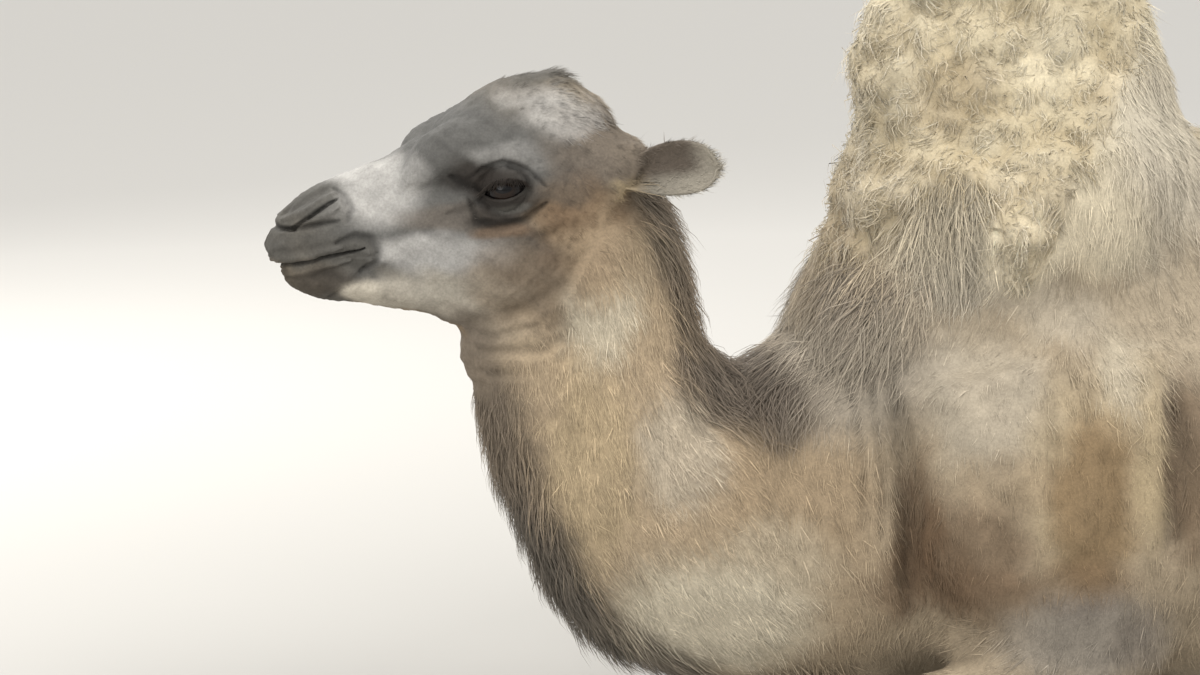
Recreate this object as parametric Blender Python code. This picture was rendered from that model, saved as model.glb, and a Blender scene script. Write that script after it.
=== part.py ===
"""A young Bactrian camel lying on its chest with folded legs, life-size, as a still model.

The camel faces -X, its left side is towards -Y, and the floor is z = 0. The shapes below
are given in metres as x back from the tip of the lips, y out from the middle plane and
z up from the floor, and the finished pieces are then moved to stand about the origin.
All the sizes reach out to the tips of the coat. The body is modelled whole from rounded
lofts that run into each other, and then parted with thin cuts into its named pieces.
"""
import math
from collections import namedtuple

import bmesh
import bpy
from mathutils import Matrix, Vector

# Driving dimensions
GAP = 0.0003                # width of each parting cut
SIDES = 28                  # points round a loft
STEPS = 5                   # rings from one station to the next

BODY_VOXEL = 0.009
BODY_SOFTENING = 9
BODY_TRIANGLES = 2500
HEAD_VOXEL = 0.0036
HEAD_SOFTENING = 14
HEAD_TRIANGLES = 1700

EYE_RADIUS = 0.0205
EYE_CENTRE = Vector((0.232, 0.0600, 0.603))
EYE_OPENING = Vector((0.0220, 0.0200, 0.0105))
EAR_BASE = Vector((0.356, 0.056, 0.610))
EAR_TIP = {"left": Vector((0.440, 0.102, 0.624)), "right": Vector((0.388, 0.140, 0.598))}
EAR_HALF_WIDTH = 0.030
EAR_THICKNESS = 0.006
NAIL_SIZE = Vector((0.016, 0.011, 0.009))

# A loft's station: the middle of the section, its half height and half width, and how much
# wider (+) or narrower (-) the section is at its top than in its middle.
Station = namedtuple("Station", "x z depth width y taper", defaults=(0.0, 0.0))
# A rounded lump: its middle, its three radii, and its turn about Y in degrees.
Lump = namedtuple("Lump", "x y z rx ry rz turn", defaults=(0.0,))

NECK = [
    Station(0.300, 0.615, 0.070, 0.056),
    Station(0.315, 0.545, 0.100, 0.058),
    Station(0.317, 0.475, 0.116, 0.062),
    Station(0.322, 0.410, 0.122, 0.068),
    Station(0.360, 0.330, 0.146, 0.080),
    Station(0.405, 0.285, 0.168, 0.092),
    Station(0.470, 0.255, 0.180, 0.108),
    Station(0.555, 0.260, 0.195, 0.132),
    Station(0.660, 0.285, 0.215, 0.160),
]
TRUNK = [
    Station(0.560, 0.270, 0.175, 0.115, taper=-0.10),
    Station(0.640, 0.288, 0.222, 0.160, taper=-0.12),
    Station(0.740, 0.302, 0.250, 0.192, taper=-0.14),
    Station(0.880, 0.318, 0.272, 0.218, taper=-0.15),
    Station(1.030, 0.325, 0.282, 0.236, taper=-0.16),
    Station(1.180, 0.325, 0.278, 0.238, taper=-0.16),
    Station(1.320, 0.315, 0.255, 0.222, taper=-0.14),
    Station(1.440, 0.300, 0.212, 0.190, taper=-0.10),
    Station(1.530, 0.285, 0.150, 0.140),
    Station(1.575, 0.285, 0.075, 0.080),
]
# Face and cranium, lips to poll
SKULL = [
    Station(-0.001, 0.532, 0.014, 0.020),
    Station(0.014, 0.538, 0.028, 0.034),
    Station(0.034, 0.547, 0.041, 0.042),
    Station(0.060, 0.556, 0.050, 0.045),
    Station(0.090, 0.560, 0.059, 0.043),
    Station(0.118, 0.562, 0.069, 0.044),
    Station(0.146, 0.561, 0.078, 0.050),
    Station(0.178, 0.558, 0.086, 0.060),
    Station(0.212, 0.568, 0.098, 0.069),
    Station(0.242, 0.582, 0.110, 0.073),
    Station(0.270, 0.597, 0.116, 0.073),
    Station(0.302, 0.604, 0.103, 0.070),
    Station(0.336, 0.606, 0.077, 0.063),
    Station(0.364, 0.606, 0.050, 0.050),
    Station(0.384, 0.605, 0.022, 0.028),
]
# Lower lip to the angle of the jaw
JAW = [
    Station(0.016, 0.511, 0.009, 0.018),
    Station(0.030, 0.507, 0.016, 0.029),
    Station(0.058, 0.503, 0.022, 0.035),
    Station(0.090, 0.502, 0.021, 0.035),
    Station(0.130, 0.500, 0.025, 0.037),
    Station(0.170, 0.500, 0.031, 0.042),
    Station(0.205, 0.500, 0.038, 0.047),
    Station(0.240, 0.503, 0.038, 0.049),
    Station(0.272, 0.515, 0.028, 0.044),
]
TAIL = [
    Station(1.500, 0.440, 0.034, 0.034),
    Station(1.560, 0.420, 0.028, 0.030),
    Station(1.592, 0.350, 0.022, 0.025),
    Station(1.598, 0.270, 0.019, 0.022),
    Station(1.596, 0.200, 0.022, 0.026),
    Station(1.588, 0.130, 0.028, 0.031),
    Station(1.580, 0.080, 0.017, 0.019),
]
# Limbs of one side, later mirrored
UPPER_ARM = [
    Station(0.705, 0.430, 0.090, 0.050, 0.135),
    Station(0.732, 0.340, 0.122, 0.056, 0.152),
    Station(0.758, 0.250, 0.124, 0.054, 0.160),
    Station(0.790, 0.175, 0.090, 0.050, 0.166),
    Station(0.812, 0.115, 0.052, 0.044, 0.168),
]
FOREARM = [
    Station(0.868, 0.150, 0.026, 0.032, 0.170),
    Station(0.826, 0.138, 0.050, 0.042, 0.170),
    Station(0.730, 0.112, 0.047, 0.040, 0.166),
    Station(0.640, 0.092, 0.039, 0.036, 0.158),
    Station(0.560, 0.064, 0.036, 0.036, 0.150),
    Station(0.510, 0.044, 0.040, 0.038, 0.146),
    Station(0.478, 0.038, 0.026, 0.026, 0.145),
]
FORE_CANNON = [
    Station(0.510, 0.036, 0.034, 0.032, 0.144),
    Station(0.560, 0.026, 0.027, 0.027, 0.148),
    Station(0.660, 0.024, 0.025, 0.025, 0.158),
    Station(0.750, 0.026, 0.028, 0.029, 0.166),
    Station(0.795, 0.028, 0.031, 0.034, 0.169),
]
THIGH = [
    Station(1.420, 0.420, 0.100, 0.060, 0.120),
    Station(1.400, 0.330, 0.150, 0.072, 0.152),
    Station(1.350, 0.240, 0.150, 0.070, 0.178),
    Station(1.275, 0.160, 0.108, 0.060, 0.198),
    Station(1.200, 0.095, 0.068, 0.048, 0.208),
    Station(1.165, 0.058, 0.040, 0.032, 0.210),
]
GASKIN = [
    Station(1.190, 0.088, 0.056, 0.044, 0.206),
    Station(1.290, 0.100, 0.056, 0.044, 0.200),
    Station(1.400, 0.092, 0.044, 0.038, 0.190),
    Station(1.490, 0.070, 0.038, 0.034, 0.182),
    Station(1.540, 0.050, 0.040, 0.032, 0.178),
    Station(1.566, 0.042, 0.024, 0.022, 0.178),
]
HIND_CANNON = [
    Station(1.530, 0.034, 0.034, 0.029, 0.180),
    Station(1.460, 0.025, 0.026, 0.026, 0.194),
    Station(1.340, 0.024, 0.025, 0.025, 0.216),
    Station(1.240, 0.026, 0.028, 0.029, 0.232),
    Station(1.200, 0.028, 0.030, 0.033, 0.238),
]

BODY_LUMPS = [
    Lump(0.665, 0.000, 0.420, 0.142, 0.125, 0.170),             # withers
    Lump(0.765, 0.000, 0.640, 0.168, 0.128, 0.290),             # front hump
    Lump(0.782, 0.000, 0.580, 0.196, 0.178, 0.135),             # its wool cape
    Lump(0.965, 0.000, 0.520, 0.220, 0.150, 0.142),             # saddle
    Lump(1.200, 0.000, 0.625, 0.170, 0.122, 0.265, 4.0),        # rear hump
    Lump(1.200, 0.000, 0.575, 0.195, 0.165, 0.130),             # its wool cape
    Lump(1.430, 0.000, 0.385, 0.140, 0.150, 0.135, 24.0),       # croup
    Lump(0.690, 0.000, 0.060, 0.090, 0.070, 0.090),             # chest pad
    Lump(0.605, 0.000, 0.115, 0.080, 0.085, 0.075),             # brisket hair
]
HEAD_LUMPS = [
    Lump(0.290, 0.000, 0.650, 0.068, 0.055, 0.066),             # crown
    Lump(0.030, 0.016, 0.545, 0.026, 0.022, 0.027),             # upper lip
    Lump(0.052, 0.026, 0.572, 0.032, 0.019, 0.022, -26.0),      # nostril
    Lump(0.182, 0.038, 0.633, 0.062, 0.030, 0.023, -26.0),      # brow
    Lump(0.232, 0.044, 0.602, 0.056, 0.040, 0.048),             # orbit
    Lump(0.238, 0.030, 0.540, 0.075, 0.036, 0.066),             # cheek
    Lump(0.104, 0.032, 0.534, 0.020, 0.014, 0.012),             # corner of the lips
    Lump(0.340, 0.044, 0.614, 0.046, 0.030, 0.040),             # ear root
]
FORE_TOE = Lump(0.850, 0.019, 0.022, 0.062, 0.023, 0.030)
HIND_TOE = Lump(1.140, 0.019, 0.022, 0.062, 0.023, 0.030)

COLOURS = {
    "fawn": ((0.40, 0.33, 0.24), 0.9),
    "grey": ((0.22, 0.21, 0.20), 0.9),
    "cream": ((0.60, 0.53, 0.38), 0.95),
    "dark": ((0.10, 0.085, 0.07), 0.9),
    "eye": ((0.015, 0.010, 0.008), 0.1),
    "nail": ((0.10, 0.085, 0.07), 0.5),
}


def clear_scene():
    for obj in list(bpy.data.objects):
        bpy.data.objects.remove(obj, do_unlink=True)


def material(name):
    made = bpy.data.materials.get(name)
    if made:
        return made
    colour, roughness = COLOURS[name]
    made = bpy.data.materials.new(name)
    made.use_nodes = True
    shader = made.node_tree.nodes["Principled BSDF"]
    shader.inputs["Base Color"].default_value = (*colour, 1.0)
    shader.inputs["Roughness"].default_value = roughness
    shader.inputs["Metallic"].default_value = 0.0
    return made


def between(a, b, c, d, t):
    """Catmull-Rom value at t between b and c."""
    return 0.5 * (2 * b + (c - a) * t + (2 * a - 5 * b + 4 * c - d) * t * t
                  + (3 * b - a - 3 * c + d) * t ** 3)


def smooth_run(stations):
    """More stations along a smooth curve through the given ones."""
    last = len(stations) - 1
    run = []
    for i in range(last):
        four = [stations[max(i - 1, 0)], stations[i], stations[i + 1], stations[min(i + 2, last)]]
        for step in range(STEPS):
            run.append(Station(*(between(*values, step / STEPS) for values in zip(*four))))
    run.append(stations[last])
    return run


def bridge(bm, rings):
    """Faces between rings of the same number of points, and a cap on each end."""
    for low, high in zip(rings, rings[1:]):
        for i in range(len(low)):
            j = (i + 1) % len(low)
            bm.faces.new((low[i], low[j], high[j], high[i]))
    bm.faces.new(reversed(rings[0]))
    bm.faces.new(rings[-1])


def add_loft(bm, stations, side=1.0):
    run = smooth_run(stations)
    middles = [Vector((s.x, side * s.y, s.z)) for s in run]
    rings = []
    for i, station in enumerate(run):
        along = (middles[min(i + 1, len(run) - 1)] - middles[max(i - 1, 0)]).normalized()
        across = (Vector((0.0, 1.0, 0.0)) - along * along.y).normalized()
        up = along.cross(across)
        ring = []
        for k in range(SIDES):
            turn = 2 * math.pi * k / SIDES
            wide = station.width * (1 + station.taper * math.sin(turn))
            point = middles[i] + across * wide * math.cos(turn) + up * station.depth * math.sin(turn)
            ring.append(bm.verts.new(point))
        rings.append(ring)
    bridge(bm, rings)


def add_lump(bm, lump, side=1.0):
    place = (Matrix.Translation((lump.x, side * lump.y, lump.z))
             @ Matrix.Rotation(math.radians(lump.turn), 4, "Y")
             @ Matrix.Diagonal((lump.rx, lump.ry, lump.rz, 1.0)))
    bmesh.ops.create_icosphere(bm, subdivisions=4, radius=1.0, matrix=place)


def mesh_object(name, bm):
    bmesh.ops.recalc_face_normals(bm, faces=bm.faces)
    mesh = bpy.data.meshes.new(name)
    bm.to_mesh(mesh)
    bm.free()
    obj = bpy.data.objects.new(name, mesh)
    bpy.context.scene.collection.objects.link(obj)
    return obj


def apply_modifiers(obj):
    graph = bpy.context.evaluated_depsgraph_get()
    mesh = bpy.data.meshes.new_from_object(obj.evaluated_get(graph))
    obj.modifiers.clear()
    obj.data = mesh


def blend(obj, voxel, softening, triangles):
    """Run the overlapping shapes of an object into one soft closed form."""
    remesh = obj.modifiers.new("blend", "REMESH")
    remesh.mode = "VOXEL"
    remesh.voxel_size = voxel
    soften = obj.modifiers.new("soften", "SMOOTH")
    soften.factor = 0.5
    soften.iterations = softening
    apply_modifiers(obj)
    fewer = obj.modifiers.new("fewer", "DECIMATE")
    fewer.ratio = triangles / (2 * len(obj.data.polygons))
    fewer.use_symmetry = True
    fewer.symmetry_axis = "Y"
    apply_modifiers(obj)


def boolean(obj, cutter, operation):
    cut = obj.modifiers.new("cut", "BOOLEAN")
    cut.operation = operation
    cut.solver = "MANIFOLD"
    cut.object = cutter
    apply_modifiers(obj)


def keep_largest(obj):
    """Drop loose crumbs that a cut leaves beside the piece."""
    bm = bmesh.new()
    bm.from_mesh(obj.data)
    bmesh.ops.remove_doubles(bm, verts=bm.verts, dist=0.00001)
    left = set(bm.verts)
    islands = []
    while left:
        island = set()
        edge = [left.pop()]
        while edge:
            vert = edge.pop()
            island.add(vert)
            for link in vert.link_edges:
                other = link.other_vert(vert)
                if other in left:
                    left.remove(other)
                    edge.append(other)
        islands.append(island)
    islands.sort(key=len)
    for island in islands[:-1]:
        bmesh.ops.delete(bm, geom=list(island), context="VERTS")
    bmesh.ops.triangulate(bm, faces=bm.faces)
    bm.to_mesh(obj.data)
    bm.free()


def block(low, high, grow=0.0):
    """A box cutter from corner to corner."""
    middle = (Vector(low) + Vector(high)) / 2
    size = Vector(high) - Vector(low) + Vector((2 * grow,) * 3)
    bm = bmesh.new()
    place = Matrix.Translation(middle) @ Matrix.Diagonal((*size, 1.0))
    bmesh.ops.create_cube(bm, size=1.0, matrix=place)
    return mesh_object("cutter", bm)


def slab(point, lean, depth, reach, grow=0.0):
    """A box cutter on one side of the plane through point. The side it lies on is given
    by lean, degrees from +X towards +Z."""
    outward = Matrix.Rotation(math.radians(-lean), 4, "Y")
    place = (Matrix.Translation((point[0], 0.0, point[1])) @ outward
             @ Matrix.Translation((depth / 2, 0.0, 0.0))
             @ Matrix.Diagonal((depth + 2 * grow, 1.0, 2 * reach + 2 * grow, 1.0)))
    bm = bmesh.new()
    bmesh.ops.create_cube(bm, size=1.0, matrix=place)
    return mesh_object("cutter", bm)


def part(body, name, cutter, *sizes):
    """Cut the named piece out of the body, with a thin gap between them."""
    piece = bpy.data.objects.new(name, body.data.copy())
    bpy.context.scene.collection.objects.link(piece)
    exact = cutter(*sizes)
    boolean(piece, exact, "INTERSECT")
    keep_largest(piece)
    grown = cutter(*sizes, grow=GAP)
    boolean(body, grown, "DIFFERENCE")
    for used in (exact, grown):
        bpy.data.objects.remove(used, do_unlink=True)
    return piece


def trim(piece, against):
    """Cut away what a piece shares with its neighbour, and the gap between them."""
    grown = bpy.data.objects.new("grown", against.data.copy())
    bpy.context.scene.collection.objects.link(grown)
    swell = grown.modifiers.new("swell", "DISPLACE")
    swell.strength = GAP
    swell.mid_level = 0.0
    apply_modifiers(grown)
    boolean(piece, grown, "DIFFERENCE")
    bpy.data.objects.remove(grown, do_unlink=True)
    keep_largest(piece)


def both_sides(shape):
    return (1.0, -1.0) if shape.y else (1.0,)


def build_body():
    bm = bmesh.new()
    add_loft(bm, NECK)
    add_loft(bm, TRUNK)
    add_loft(bm, TAIL)
    for lump in BODY_LUMPS:
        add_lump(bm, lump)
    for side in (1.0, -1.0):
        for limb in (UPPER_ARM, FOREARM, FORE_CANNON, THIGH, GASKIN, HIND_CANNON):
            add_loft(bm, limb, side)
        for toe, foot in ((FORE_TOE, FORE_CANNON[-1]), (HIND_TOE, HIND_CANNON[-1])):
            for spread in (-toe.y, toe.y):
                add_lump(bm, toe._replace(y=foot.y + spread), side)
    body = mesh_object("body", bm)
    blend(body, BODY_VOXEL, BODY_SOFTENING, BODY_TRIANGLES)
    floor = block((-0.5, -0.6, 0.0), (2.2, 0.6, 1.5))
    boolean(body, floor, "INTERSECT")
    bpy.data.objects.remove(floor, do_unlink=True)
    return body


def build_head():
    bm = bmesh.new()
    add_loft(bm, SKULL)
    add_loft(bm, JAW)
    add_loft(bm, NECK[:4])
    for lump in HEAD_LUMPS:
        for side in both_sides(lump):
            add_lump(bm, lump, side)
    head = mesh_object("head_whole", bm)
    blend(head, HEAD_VOXEL, HEAD_SOFTENING, HEAD_TRIANGLES)
    return head


def ball(name, centre, radii, side, segments=14, rings=8):
    bm = bmesh.new()
    place = Matrix.Translation((centre.x, side * centre.y, centre.z)) @ Matrix.Diagonal((*radii, 1.0))
    place = place @ Matrix.Rotation(math.pi / 2, 4, "X")
    bmesh.ops.create_uvsphere(bm, u_segments=segments, v_segments=rings, radius=1.0, matrix=place)
    return mesh_object(name, bm)


def build_eye(head, name, side):
    """An eyeball in a socket that opens between the lids."""
    socket = ball("socket", EYE_CENTRE, Vector((EYE_RADIUS + GAP,) * 3), side)
    opening = ball("opening", EYE_CENTRE + Vector((0.0, 0.028, 0.0)), EYE_OPENING, side)
    boolean(head, opening, "DIFFERENCE")
    boolean(head, socket, "DIFFERENCE")
    for used in (socket, opening):
        bpy.data.objects.remove(used, do_unlink=True)
    return ball(name, EYE_CENTRE, Vector((EYE_RADIUS,) * 3), side)


def build_ear(name, side, tip_place, rings=7, across=7):
    """A short cupped ear, its hollow turned out and forward."""
    base = Vector((EAR_BASE.x, side * EAR_BASE.y, EAR_BASE.z))
    tip = Vector((tip_place.x, side * tip_place.y, tip_place.z))
    along = (tip - base).normalized()
    hollow = Vector((-0.15, side * 1.0, 0.25))
    hollow = (hollow - along * hollow.dot(along)).normalized()
    wide = along.cross(hollow)
    bm = bmesh.new()
    loops = []
    for i in range(rings + 1):
        t = i / rings
        half = EAR_HALF_WIDTH * (0.55 + 1.55 * t - 0.35 * t * t) * math.sqrt(max(1 - t ** 3.2, 0.012))
        half = min(half, EAR_HALF_WIDTH)
        cup = 0.75 * half * (1 - 0.55 * t)
        thick = EAR_THICKNESS * (1.2 - 0.7 * t)
        loop = []
        for k in range(across):
            u = -1 + 2 * k / (across - 1)
            back = base + (tip - base) * t + wide * half * u - hollow * cup * (1 - u * u)
            loop.append(back - hollow * thick / 2)
        for k in range(across):
            u = 1 - 2 * k / (across - 1)
            front = base + (tip - base) * t + wide * (half - 0.001) * u - hollow * cup * (1 - u * u)
            loop.append(front + hollow * thick / 2)
        loops.append([bm.verts.new(point) for point in loop])
    bridge(bm, loops)
    return mesh_object(name, bm)


def build_nail(name, toe, foot, side, spread, forward):
    """A small nail on the end of a toe."""
    end = Vector((toe.x + forward * (toe.rx - 0.010), side * (foot.y + spread), 0.020))
    bm = bmesh.new()
    place = Matrix.Translation(end) @ Matrix.Diagonal((*NAIL_SIZE, 1.0))
    bmesh.ops.create_uvsphere(bm, u_segments=8, v_segments=4, radius=1.0, matrix=place)
    return mesh_object(name, bm)


def finish(obj, colour, shift):
    obj.data.materials.clear()
    obj.data.materials.append(material(colour))
    obj.data.transform(Matrix.Translation(shift))
    obj.data.shade_smooth()


def to_bottom_centre(pieces):
    """The move that puts the middle of the length and the width over the origin."""
    points = [vert.co for obj, colour in pieces for vert in obj.data.vertices]
    middle = [(min(p[i] for p in points) + max(p[i] for p in points)) / 2 for i in (0, 1)]
    return Vector((-middle[0], -middle[1], -min(p.z for p in points)))


def main():
    clear_scene()
    pieces = []
    body = build_body()
    head = build_head()

    jaw_plane = ((0.236, 0.436), 144.0, 0.60, 0.45)
    face = part(head, "head", slab, *jaw_plane)
    bpy.data.objects.remove(head, do_unlink=True)
    for name, side in (("left", -1.0), ("right", 1.0)):
        pieces.append((build_eye(face, "eye_" + name, side), "eye"))
    keep_largest(face)
    lower_jaw = part(face, "lower_jaw", slab, (0.056, 0.5330), -81.5, 0.12, 0.060)
    keep_largest(face)
    pieces.append((face, "grey"))
    pieces.append((lower_jaw, "grey"))

    old_face = part(body, "stub", slab, *jaw_plane)
    bpy.data.objects.remove(old_face, do_unlink=True)

    for name, side in (("left", -1.0), ("right", 1.0)):
        def limb(piece, low, high, colour="fawn"):
            ends = sorted((side * low[1], side * high[1]))
            box = (low[0], ends[0], low[2]), (high[0], ends[1], high[2])
            pieces.append((part(body, piece, block, *box), colour))

        limb("foreleg_" + name + "_foot", (0.566, 0.095, -0.1), (0.950, 0.30, 0.060))
        limb("foreleg_" + name + "_forearm", (0.400, 0.115, -0.1), (0.775, 0.30, 0.146))
        limb("foreleg_" + name + "_upper", (0.590, 0.135, -0.1), (0.900, 0.30, 0.400))
        limb("hindleg_" + name + "_foot", (1.050, 0.165, -0.1), (1.475, 0.35, 0.054))
        limb("hindleg_" + name + "_gaskin", (1.130, 0.150, -0.1), (1.65, 0.35, 0.142))
        limb("hindleg_" + name + "_thigh", (1.130, 0.150, -0.1), (1.60, 0.35, 0.440))

    pieces.append((part(body, "neck_upper", slab, (0.352, 0.345), 124.0, 0.6, 0.19), "fawn"))
    pieces.append((part(body, "neck_lower", slab, (0.575, 0.240), 199.0, 0.5, 0.30), "fawn"))
    pieces.append((part(body, "front_hump", block, (0.40, -0.4, 0.585), (0.965, 0.4, 1.4)), "cream"))
    pieces.append((part(body, "rear_hump", block, (0.965, -0.4, 0.585), (1.60, 0.4, 1.4)), "cream"))
    pieces.append((part(body, "chest", block, (0.30, -0.4, -0.1), (0.930, 0.4, 0.8)), "fawn"))
    pieces.append((part(body, "tail", block, (1.572, -0.045, 0.02), (1.80, 0.045, 0.445)), "fawn"))
    rump = part(body, "rump", block, (1.300, -0.4, -0.1), (1.80, 0.4, 0.8))
    pieces.append((rump, "fawn"))
    body.name = "barrel"
    keep_largest(body)
    pieces.append((body, "fawn"))

    for name, side in (("left", -1.0), ("right", 1.0)):
        ear = build_ear("ear_" + name, side, EAR_TIP[name])
        trim(ear, face)
        pieces.append((ear, "dark"))

    made = {obj.name: obj for obj, colour in pieces}
    for name, side in (("left", -1.0), ("right", 1.0)):
        for end, toe, foot, forward in (("fore", FORE_TOE, FORE_CANNON[-1], 1.0),
                                        ("hind", HIND_TOE, HIND_CANNON[-1], -1.0)):
            for place, spread in (("inner", -toe.y), ("outer", toe.y)):
                nail = build_nail(f"nail_{end}_{name}_{place}", toe, foot, side, spread, forward)
                trim(nail, made[f"{end}leg_{name}_foot"])
                pieces.append((nail, "nail"))

    shift = to_bottom_centre(pieces)
    for obj, colour in pieces:
        finish(obj, colour, shift)


main()
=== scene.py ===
"""Looks of a lying young camel: skin, eyes, nails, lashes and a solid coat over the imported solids.

Shapes and markings are placed in the camel's own measure, in metres: a is the distance back
from the lips, y the distance out from the middle plane and z the height above the floor.
"""
import math

import bmesh
import bpy
import numpy as np
from bpy.props import FloatProperty, FloatVectorProperty, PointerProperty
from mathutils import Matrix, Vector
from mathutils.bvhtree import BVHTree
from mathutils.kdtree import KDTree


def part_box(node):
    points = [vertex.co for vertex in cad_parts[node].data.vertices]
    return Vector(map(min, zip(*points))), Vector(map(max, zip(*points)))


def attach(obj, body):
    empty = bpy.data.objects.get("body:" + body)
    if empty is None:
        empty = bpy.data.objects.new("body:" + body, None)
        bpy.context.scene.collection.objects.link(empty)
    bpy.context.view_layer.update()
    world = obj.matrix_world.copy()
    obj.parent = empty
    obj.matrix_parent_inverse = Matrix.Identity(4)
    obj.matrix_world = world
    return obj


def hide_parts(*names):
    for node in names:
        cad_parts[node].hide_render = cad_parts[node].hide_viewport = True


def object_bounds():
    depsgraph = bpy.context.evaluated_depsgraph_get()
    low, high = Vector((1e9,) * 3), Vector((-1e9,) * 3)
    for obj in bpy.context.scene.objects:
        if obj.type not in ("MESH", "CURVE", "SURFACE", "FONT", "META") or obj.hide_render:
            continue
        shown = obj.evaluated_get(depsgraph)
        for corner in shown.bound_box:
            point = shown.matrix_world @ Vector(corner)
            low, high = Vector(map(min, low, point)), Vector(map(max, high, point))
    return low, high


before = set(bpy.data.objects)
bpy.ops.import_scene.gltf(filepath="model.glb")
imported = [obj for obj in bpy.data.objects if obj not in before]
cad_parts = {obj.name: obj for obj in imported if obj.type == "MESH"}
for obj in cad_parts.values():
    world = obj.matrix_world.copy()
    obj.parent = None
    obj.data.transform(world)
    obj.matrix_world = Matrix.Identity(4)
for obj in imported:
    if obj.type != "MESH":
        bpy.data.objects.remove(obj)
CAD_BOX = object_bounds()

bl_info = {
    "name": "Lying Young Camel",
    "version": (1, 0, 0),
    "blender": (4, 5, 0),
    "location": "3D View > Sidebar > Camel",
    "description": "Skin, eyes, nails and coat of a lying two-humped camel calf",
    "category": "Add Mesh",
}

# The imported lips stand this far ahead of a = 0.
LIP_OVERHANG = 0.0035
ZERO_A = CAD_BOX[0].x + LIP_OVERHANG
SIDES = {"left": -1.0, "right": 1.0}
FLESH = [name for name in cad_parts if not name.startswith(("eye_", "nail_"))]
SMOOTH_FLESH = [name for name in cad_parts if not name.startswith(("ear_", "nail_"))]
NAILS = [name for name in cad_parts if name.startswith("nail_")]
# Share of the tufts that is made.
COUNT_SHARE = 1.0
# Skin, nails and hair stay this far above the floor.
FLOOR_GAP = 0.0004
# Triangles of the skin before the ears are joined to it.
SKIN_FACES = 186000
NAIL_VOXEL = 0.0016
# Points whose distances to many others are worked out at a time.
CHUNK = 20000


def to_frame(a, y, z):
    return Vector((a + ZERO_A, y, z))


# ---------------------------------------------------------------- sizes and colours

def colour_setting(name, default):
    return FloatVectorProperty(name=name, description=f"{name} of the coat", subtype="COLOR",
                               size=3, min=0.0, max=1.0, default=default)


def length_setting(name, description, default):
    return FloatProperty(name=name, description=description, default=default, min=0.0,
                         unit="LENGTH", subtype="DISTANCE")


class CamelSizes(bpy.types.PropertyGroup):
    """Sizes that a user would change."""
    skin_voxel: length_setting("Skin grain", "Size of the skin's first faces", 0.0080)
    eye_radius: length_setting("Eye radius", "Radius of the eyeball", 0.0205)
    lid_thickness: length_setting("Lid thickness", "Skin over the eyeball", 0.0020)
    face_hair: length_setting("Face hair", "Length of the hair on the face", 0.0070)
    neck_hair: length_setting("Neck hair", "Length of the hair on the neck", 0.0175)
    body_hair: length_setting("Body hair", "Length of the hair on the body", 0.0200)
    limb_hair: length_setting("Limb hair", "Length of the hair on the legs", 0.0120)
    mane_hair: length_setting("Mane hair", "Length of the throat and nape hair", 0.0440)
    guard_hair: length_setting("Guard hair", "Length of the hair over the withers", 0.0700)
    wool_lock: length_setting("Wool lock", "Length of a lock of wool", 0.0180)
    lash: length_setting("Lash", "Length of an upper eyelash", 0.0190)


class CamelColours(bpy.types.PropertyGroup):
    """Colours of the markings."""
    fawn: colour_setting("Fawn", (0.37, 0.300, 0.210))
    sand: colour_setting("Sand", (0.43, 0.335, 0.225))
    grey: colour_setting("Grey", (0.095, 0.093, 0.088))
    pale_grey: colour_setting("Pale grey", (0.375, 0.365, 0.348))
    slate: colour_setting("Slate", (0.078, 0.074, 0.066))
    charcoal: colour_setting("Charcoal", (0.020, 0.016, 0.013))
    umber: colour_setting("Umber", (0.120, 0.098, 0.078))
    rust: colour_setting("Rust", (0.235, 0.158, 0.082))
    bark: colour_setting("Bark", (0.150, 0.094, 0.054))
    ash: colour_setting("Ash", (0.300, 0.265, 0.215))
    silver: colour_setting("Silver", (0.50, 0.455, 0.375))
    cream: colour_setting("Cream", (0.61, 0.545, 0.40))
    gold: colour_setting("Gold", (0.50, 0.395, 0.23))
    bone: colour_setting("Bone", (0.66, 0.60, 0.47))
    milk: colour_setting("Milk", (0.90, 0.80, 0.60))


class CamelStage(bpy.types.PropertyGroup):
    """Camera and floor."""
    azimuth: FloatProperty(name="Azimuth", description="Camera turn about the camel",
                           default=math.radians(-10.0), subtype="ANGLE")
    elevation: FloatProperty(name="Elevation", description="Camera angle above the horizon",
                             default=math.radians(9.0), subtype="ANGLE")
    distance: length_setting("Distance", "Camera to the middle of the picture", 3.4)
    lens: FloatProperty(name="Lens", description="Focal length in millimetres", default=102.0)
    floor_size: length_setting("Floor", "Side of the floor", 90.0)


# ---------------------------------------------------------------- measures and soft zones

def fade(distance, inner, outer):
    """1 up to the inner distance, 0 past the outer one, smooth between."""
    t = np.clip((outer - distance) / (outer - inner), 0.0, 1.0)
    return t * t * (3 - 2 * t)


def zone(place, middle, radii, inner=0.7, outer=1.1):
    """1 well inside an ellipsoid, 0 outside it, smooth between."""
    return fade(np.linalg.norm((place - middle) / np.array(radii), axis=1), inner, outer)


def mixed(first, second, share):
    """The first value where the share is 0, and the second where it is 1."""
    return first * (1 - share) + second * share


def unit(vectors):
    """The vectors at length 1."""
    return vectors / np.maximum(np.linalg.norm(vectors, axis=-1, keepdims=True), 1e-9)


def flattened(vectors, normals):
    """The vectors without their part along the normals."""
    return vectors - normals * (vectors * normals).sum(axis=1, keepdims=True)


def chunks(count):
    """Slices that cover a long array, so that tables of distances stay small."""
    return [slice(start, start + CHUNK) for start in range(0, count, CHUNK)]


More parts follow.
